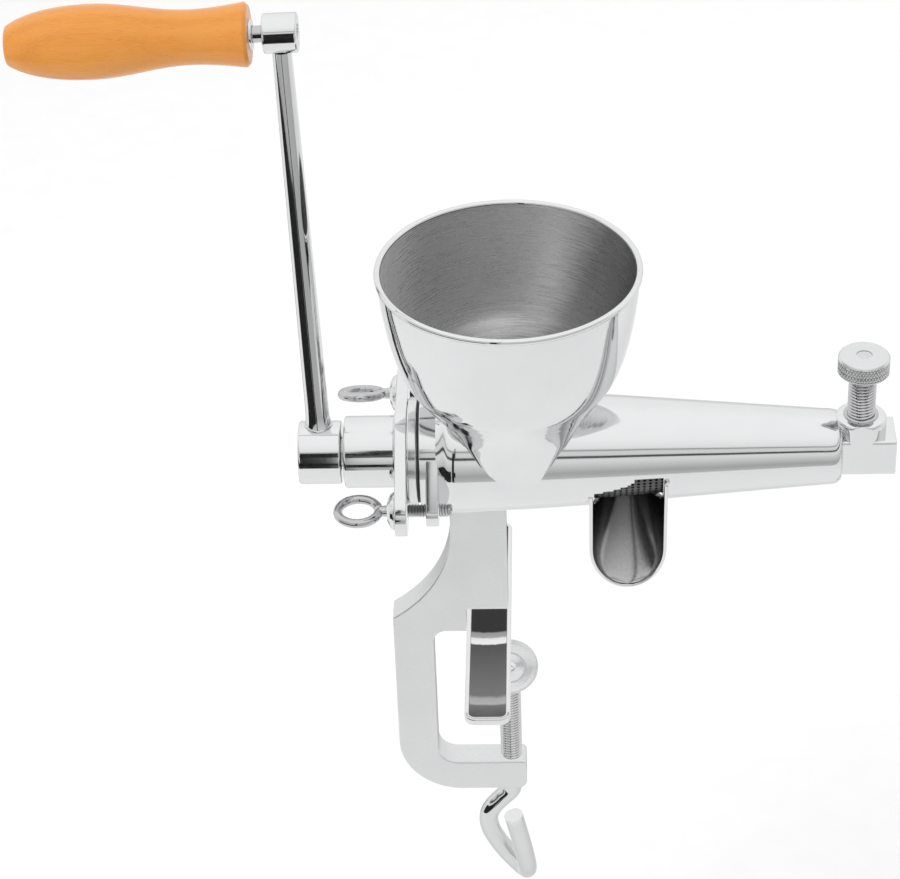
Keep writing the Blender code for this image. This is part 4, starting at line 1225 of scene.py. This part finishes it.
def pad_pieces(polished, turned_pad):
    """The stud with its ball, and the dished pad that swivels on it."""
    ball_r, neck_r, stud_r, middle = 4.0, 1.6, 2.3, PAD_BALL.z
    stud = [(0, middle + ball_r)] + arc(ball_r, 84, -67, -6, middle)
    stud += [(neck_r, middle - 5.6), (stud_r, middle - 7.4), (stud_r, middle - 9.0), (0, middle - 9.5)]
    build("rivet_ball", turned(stud, steps=64), polished, "clamp_rivet", "pad_rivet",
          place=moved(CLAMP_AT.x, 0, 0), mirrored=False)
    disc = arc(ball_r + 0.3, -34, 53, 6)
    disc += [(2.9, 4.3, 0.3), (7.0, 3.1, 3.0), (10.6, 4.2, 3.0), (12.7, 5.0, 0.5), (13.1, 4.2, 0.5),
             (11.0, 2.4, 1.5), (7.6, 1.0, 2.0), (6.4, -1.6, 1.0), (5.6, -2.4, 0.5)]
    tilt = Matrix.Rotation(math.radians(30.0), 4, "X")
    build("pad_disc", turned(disc, steps=112, hollow=True), turned_pad, "clamp_pad", "clamp_pad",
          place=moved(*PAD_BALL) @ tilt, mirrored=False)


# ---------------------------------------------------------------- studio

def studio_camera():
    """The photographed view: a long lens, a third of the way up, and a slight roll."""
    azimuth, elevation, roll = (math.radians(a) for a in (2.587, 35.266, 2.197))
    aim, distance = Vector((-0.01441, 0.0, 0.09984)), 1.2598
    back = Vector((math.sin(azimuth) * math.cos(elevation), -math.cos(azimuth) * math.cos(elevation),
                   math.sin(elevation)))
    right = Vector((math.cos(azimuth), math.sin(azimuth), 0))
    up = back.cross(right)
    rolled_right = right * math.cos(roll) - up * math.sin(roll)
    rolled_up = right * math.sin(roll) + up * math.cos(roll)
    data = bpy.data.cameras.new("studio_camera")
    data.lens, data.sensor_width = 118.41, 36.0
    camera = bpy.data.objects.new("studio_camera", data)
    bpy.context.scene.collection.objects.link(camera)
    turn = Matrix((rolled_right, rolled_up, back)).transposed()
    camera.matrix_world = Matrix.Translation(aim + back * distance) @ turn.to_4x4()
    bpy.context.scene.camera = camera


def studio_world():
    """A white tent. Mirrored, it also shows the dark gap in front that the camera looks through."""
    world = bpy.data.worlds.new("studio_world")
    world.use_nodes = True
    bpy.context.scene.world = world
    nodes = Nodes(world.node_tree)
    nodes.tree.nodes.clear()
    parts = nodes.node("SeparateXYZ")
    nodes.link(nodes.node("TexCoord").outputs["Generated"], parts.inputs[0])
    height = nodes.spread(parts.outputs["Z"], 0.0, 1.0, -1.0, 1.0)
    def by_elevation(stops):
        return nodes.ramp(height, [((math.sin(math.radians(e)) + 1) / 2, light) for e, light in stops])
    front = by_elevation(((-90, 0.95), (-19, 0.45), (-14, 0.42), (12, 0.78), (15.5, 0.74), (17, 0.06),
                          (20.3, 0.05), (22, 0.70), (30, 0.72), (31, 0.36), (33, 0.36), (35, 0.84),
                          (55, 0.97), (90, 1.0)))
    back = by_elevation(((-90, 0.95), (-5, 0.85), (10, 0.9), (35, 0.95), (60, 1.0), (90, 1.0)))
    sky = by_elevation(((-90, 0.62), (0, 0.62), (12, 0.66), (35, 0.76)))
    facing = nodes.node("MapRange", interpolation_type="SMOOTHSTEP")
    facing.inputs["From Min"].default_value = 0.35
    facing.inputs["From Max"].default_value = -0.35
    nodes.link(parts.outputs["Y"], facing.inputs["Value"])
    banded = nodes.node("Mix", data_type="RGBA")
    for source, target in ((facing.outputs[0], "Factor"), (back, "A"), (front, "B")):
        nodes.link(source, banded.inputs[target])
    path = nodes.node("LightPath")
    def background(strength, colour=None):
        made = nodes.node("Background")
        made.inputs["Strength"].default_value = strength
        if colour:
            nodes.link(colour, made.inputs["Color"])
        return made.outputs[0]
    def chosen(ray, others, this):
        made = nodes.node("MixShader")
        for number, source in enumerate((path.outputs[ray], others, this)):
            nodes.link(source, made.inputs[number])
        return made.outputs[0]
    seen = chosen("Is Camera Ray", background(1.05), background(1.3, sky))
    mirrored = background(1.15, banded.outputs["Result"])
    nodes.link(chosen("Is Glossy Ray", seen, mirrored), nodes.node("OutputWorld").inputs[0])


def sheet(name, look, patches, **flags):
    """Flat four-cornered patches of the studio's floor or of a card."""
    points = [Vector(p) for patch in patches for p in patch]
    mesh = bpy.data.meshes.new(name)
    mesh.from_pydata(points, [], [tuple(range(k, k + 4)) for k in range(0, len(points), 4)])
    mesh.materials.append(look.material)
    obj = bpy.data.objects.new(name, mesh)
    bpy.context.scene.collection.objects.link(obj)
    for key, value in flags.items():
        setattr(obj, key, value)


def card(name, corner, across, up, light):
    """A grey card that shows only in reflections."""
    look = Look(name + "_card")
    grain = look.noise(look.place(), scale=0.02)
    look.set(Base_Color=(light,) * 3, Roughness=look.spread(grain, 0.85, 0.95), Specular_IOR_Level=0.1)
    corner, across, up = Vector(corner), Vector(across), Vector(up)
    sheet(name, look, [(corner, corner + across, corner + across + up, corner + up)], visible_camera=False,
          visible_diffuse=False, visible_shadow=False)


def floor():
    """A pale floor. Its outer part is out of the mirror-bright metal's sight."""
    depth = -0.30
    look = Look("pale_floor")
    grain = look.noise(look.place(), detail=3, scale=0.05)
    look.set(Base_Color=look.ramp(grain, ((0.3, 0.93), (0.7, 0.95))), Roughness=0.7, Specular_IOR_Level=0.2)
    left, front, right, back = -2.4, -0.82, 2.4, 4.0
    far = 14.0
    outer = ((-far, -far, far, front), (-far, back, far, far), (-far, front, left, back),
             (right, front, far, back))
    for name, areas, mirrored in (("studio_floor", ((left, front, right, back),), True),
                                  ("studio_apron", outer, False)):
        patches = [((x0, y0, depth), (x1, y0, depth), (x1, y1, depth), (x0, y1, depth))
                   for x0, y0, x1, y1 in areas]
        sheet(name, look, patches, visible_glossy=mirrored, visible_diffuse=mirrored)


def cards():
    """What the metal mirrors dark: upright cards in front and on the left, and two strips on the floor."""
    far = -1.0
    upright = (("hub", -0.24, -0.1335, -0.40, 0.68), ("sleeve_high", -0.1325, -0.088, 0.49, 0.90),
               ("sleeve_low", -0.1325, -0.088, -0.18, -0.007))
    for name, x0, x1, z0, z1 in upright:
        card(name, (x0, far, z0), (x1 - x0, 0, 0), (0, 0, z1 - z0), 0.01)
    wall = [Vector((-0.09 + 0.75 * math.sin(turn), -0.75 * math.cos(turn), -0.27))
            for turn in (math.radians(a) for a in (-86, -48, -10))]
    for name, first, second in (("arm_left", *wall[:2]), ("arm_front", *wall[1:])):
        card(name, first, second - first, (0, 0, 0.30), 0.02)
    card("left_strip", (-0.25, 0.20, -0.29), (-0.9, 0.93, 0), (0.05, 0.05, 0), 0.02)
    card("right_strip", (0.30, 0.08, -0.29), (1.1, 0.40, 0), (-0.009, 0.025, 0), 0.02)


def soft_light(name, place, size, power, aim=(0, 0, 0.08)):
    data = bpy.data.lights.new(name, "AREA")
    data.shape = "RECTANGLE"
    data.size, data.size_y = size
    data.energy = power
    lamp = bpy.data.objects.new(name, data)
    bpy.context.scene.collection.objects.link(lamp)
    lamp.visible_glossy = False
    lamp.location = place
    lamp.rotation_mode = "QUATERNION"
    lamp.rotation_quaternion = (Vector(aim) - Vector(place)).to_track_quat("-Z", "Y")


def studio():
    studio_camera()
    studio_world()
    floor()
    cards()
    soft_light("key_softbox", (-0.9, -0.5, 1.5), (0.9, 0.9), 9.0)
    soft_light("rim_softbox", (0.6, 1.2, 1.1), (1.2, 0.5), 5.0)
    bpy.context.scene.view_settings.view_transform = "Standard"


# ---------------------------------------------------------------- the whole juicer

def main():
    polished = polished_steel()
    satin = brushed_steel("satin_steel", (0.25, 5.0, 5.0))
    frame_steel = brushed_steel("frame_steel", (0.5, 0.5, 4.0), (0.34, 0.42), 0.003)
    # Painted reflection and shade inside the bowl: dark on one side, bright towards the upper left.
    inside = shaded_steel("bowl_inside", (-0.75, 0.55, 0.36), (-45, 60),
                          ((0.0, 0.05), (0.35, 0.13), (0.6, 0.27), (0.78, 0.80), (1.0, 0.95)),
                          (0.24, 0.34), (0.08, 0.08, 2.0), 0.72)
    # Painted shade inside the spout: darkest at the top, lighter down towards the lip.
    spout_inside = shaded_steel("spout_inside", (0, 0, 1), (-64, -18),
                                ((0.0, 0.60), (0.55, 0.20), (1.0, 0.02)),
                                (0.15, 0.25), (2.0, 2.0, 0.2))
    # Near-black: painted shade in the hopper's rim groove, inside the jaw tray's rim and along the frame's
    # foot weld.
    groove = plain_matter("rim_groove_painted_shade", (0.02, 0.02, 0.02), 0.5, 1.0)
    # The darker base colour stands in for the shading of fine threads, and grooved paints shade in the
    # grooves.
    screw_steel = polished_steel("screw_steel", grooved=True, steel=(0.55, 0.55, 0.56))
    # Painted shade in the thread grooves, and stronger painted shade towards the silhouette.
    bar_steel = polished_steel("bar_steel", grooved=True, edge_start=0.3)
    # Near-black: painted shade on the strainer, which sits in the dark inside the barrel.
    dark_steel = brushed_steel("strainer_painted_shade", (0.25, 5.0, 5.0), colour=(0.10, 0.10, 0.10))
    weld = weld_steel()
    tip = polished_steel("nose_steel", 0.006)
    machined = polished_steel("machined_steel", 0.0005)
    turned_x = turned_steel("turned_steel", (0, 0, 0), "X", (0.1, 0.18), 0.004)
    # grooved: painted shade in the knurl's grooves.
    knob = turned_steel("knob_steel", PULP_AT, "Z", (0.16, 0.26), 0.012, grooved=True)
    pad = turned_steel("pad_steel", PAD_BALL, "Z", (0.2, 0.32), 0.015)
    # Painted shadow next to the post and painted reflections in bands across the jaw tray's dish.
    dish = shaded_steel("jaw_dish", (0, 1, 0), (-70, 0),
                        ((0.05, 0.09), (0.155, 0.18), (0.17, 0.42), (0.22, 0.38), (0.25, 0.17), (0.738, 0.08),
                         (0.75, 0.78), (0.80, 0.72), (0.815, 0.34), (0.857, 0.28), (0.87, 0.03)),
                        (0.16, 0.24), (0.3, 0.05, 0.3), streak=0.004)

    barrel_pieces(polished, weld, tip)
    hopper_pieces(polished, inside, groove, weld)
    spout_pieces(polished, spout_inside, weld)
    strainer_piece(dark_steel)
    frame_piece(frame_steel, groove)
    jaw_piece(polished, dish, groove)
    rear_pieces(machined, turned_x, weld)
    gasket_piece(plain_matter("black_rubber", (0.03, 0.03, 0.032), 0.55))
    hub_pieces(machined, screw_steel)
    arm_pieces(polished, weld)
    head_pieces(polished, screw_steel)
    auger_piece(satin)
    grip_piece(varnished_wood(GRIP_AT))
    for label in ("upper", "lower"):
        eyebolt_pieces(label, polished, screw_steel)
    pulp_stem_pieces(screw_steel)
    pulp_knob_piece(knob)
    clamp_bar_pieces(bar_steel)
    pad_pieces(polished, pad)
    for node, look in (("bearing_bush", plain_matter("bronze", (0.62, 0.40, 0.18), 0.3, 1.0)),
                       ("thrust_washer", plain_matter("nylon", (0.85, 0.84, 0.80), 0.45))):
        frame["nodes"][node].data.materials.clear()
        frame["nodes"][node].data.materials.append(look)
    studio()


main()
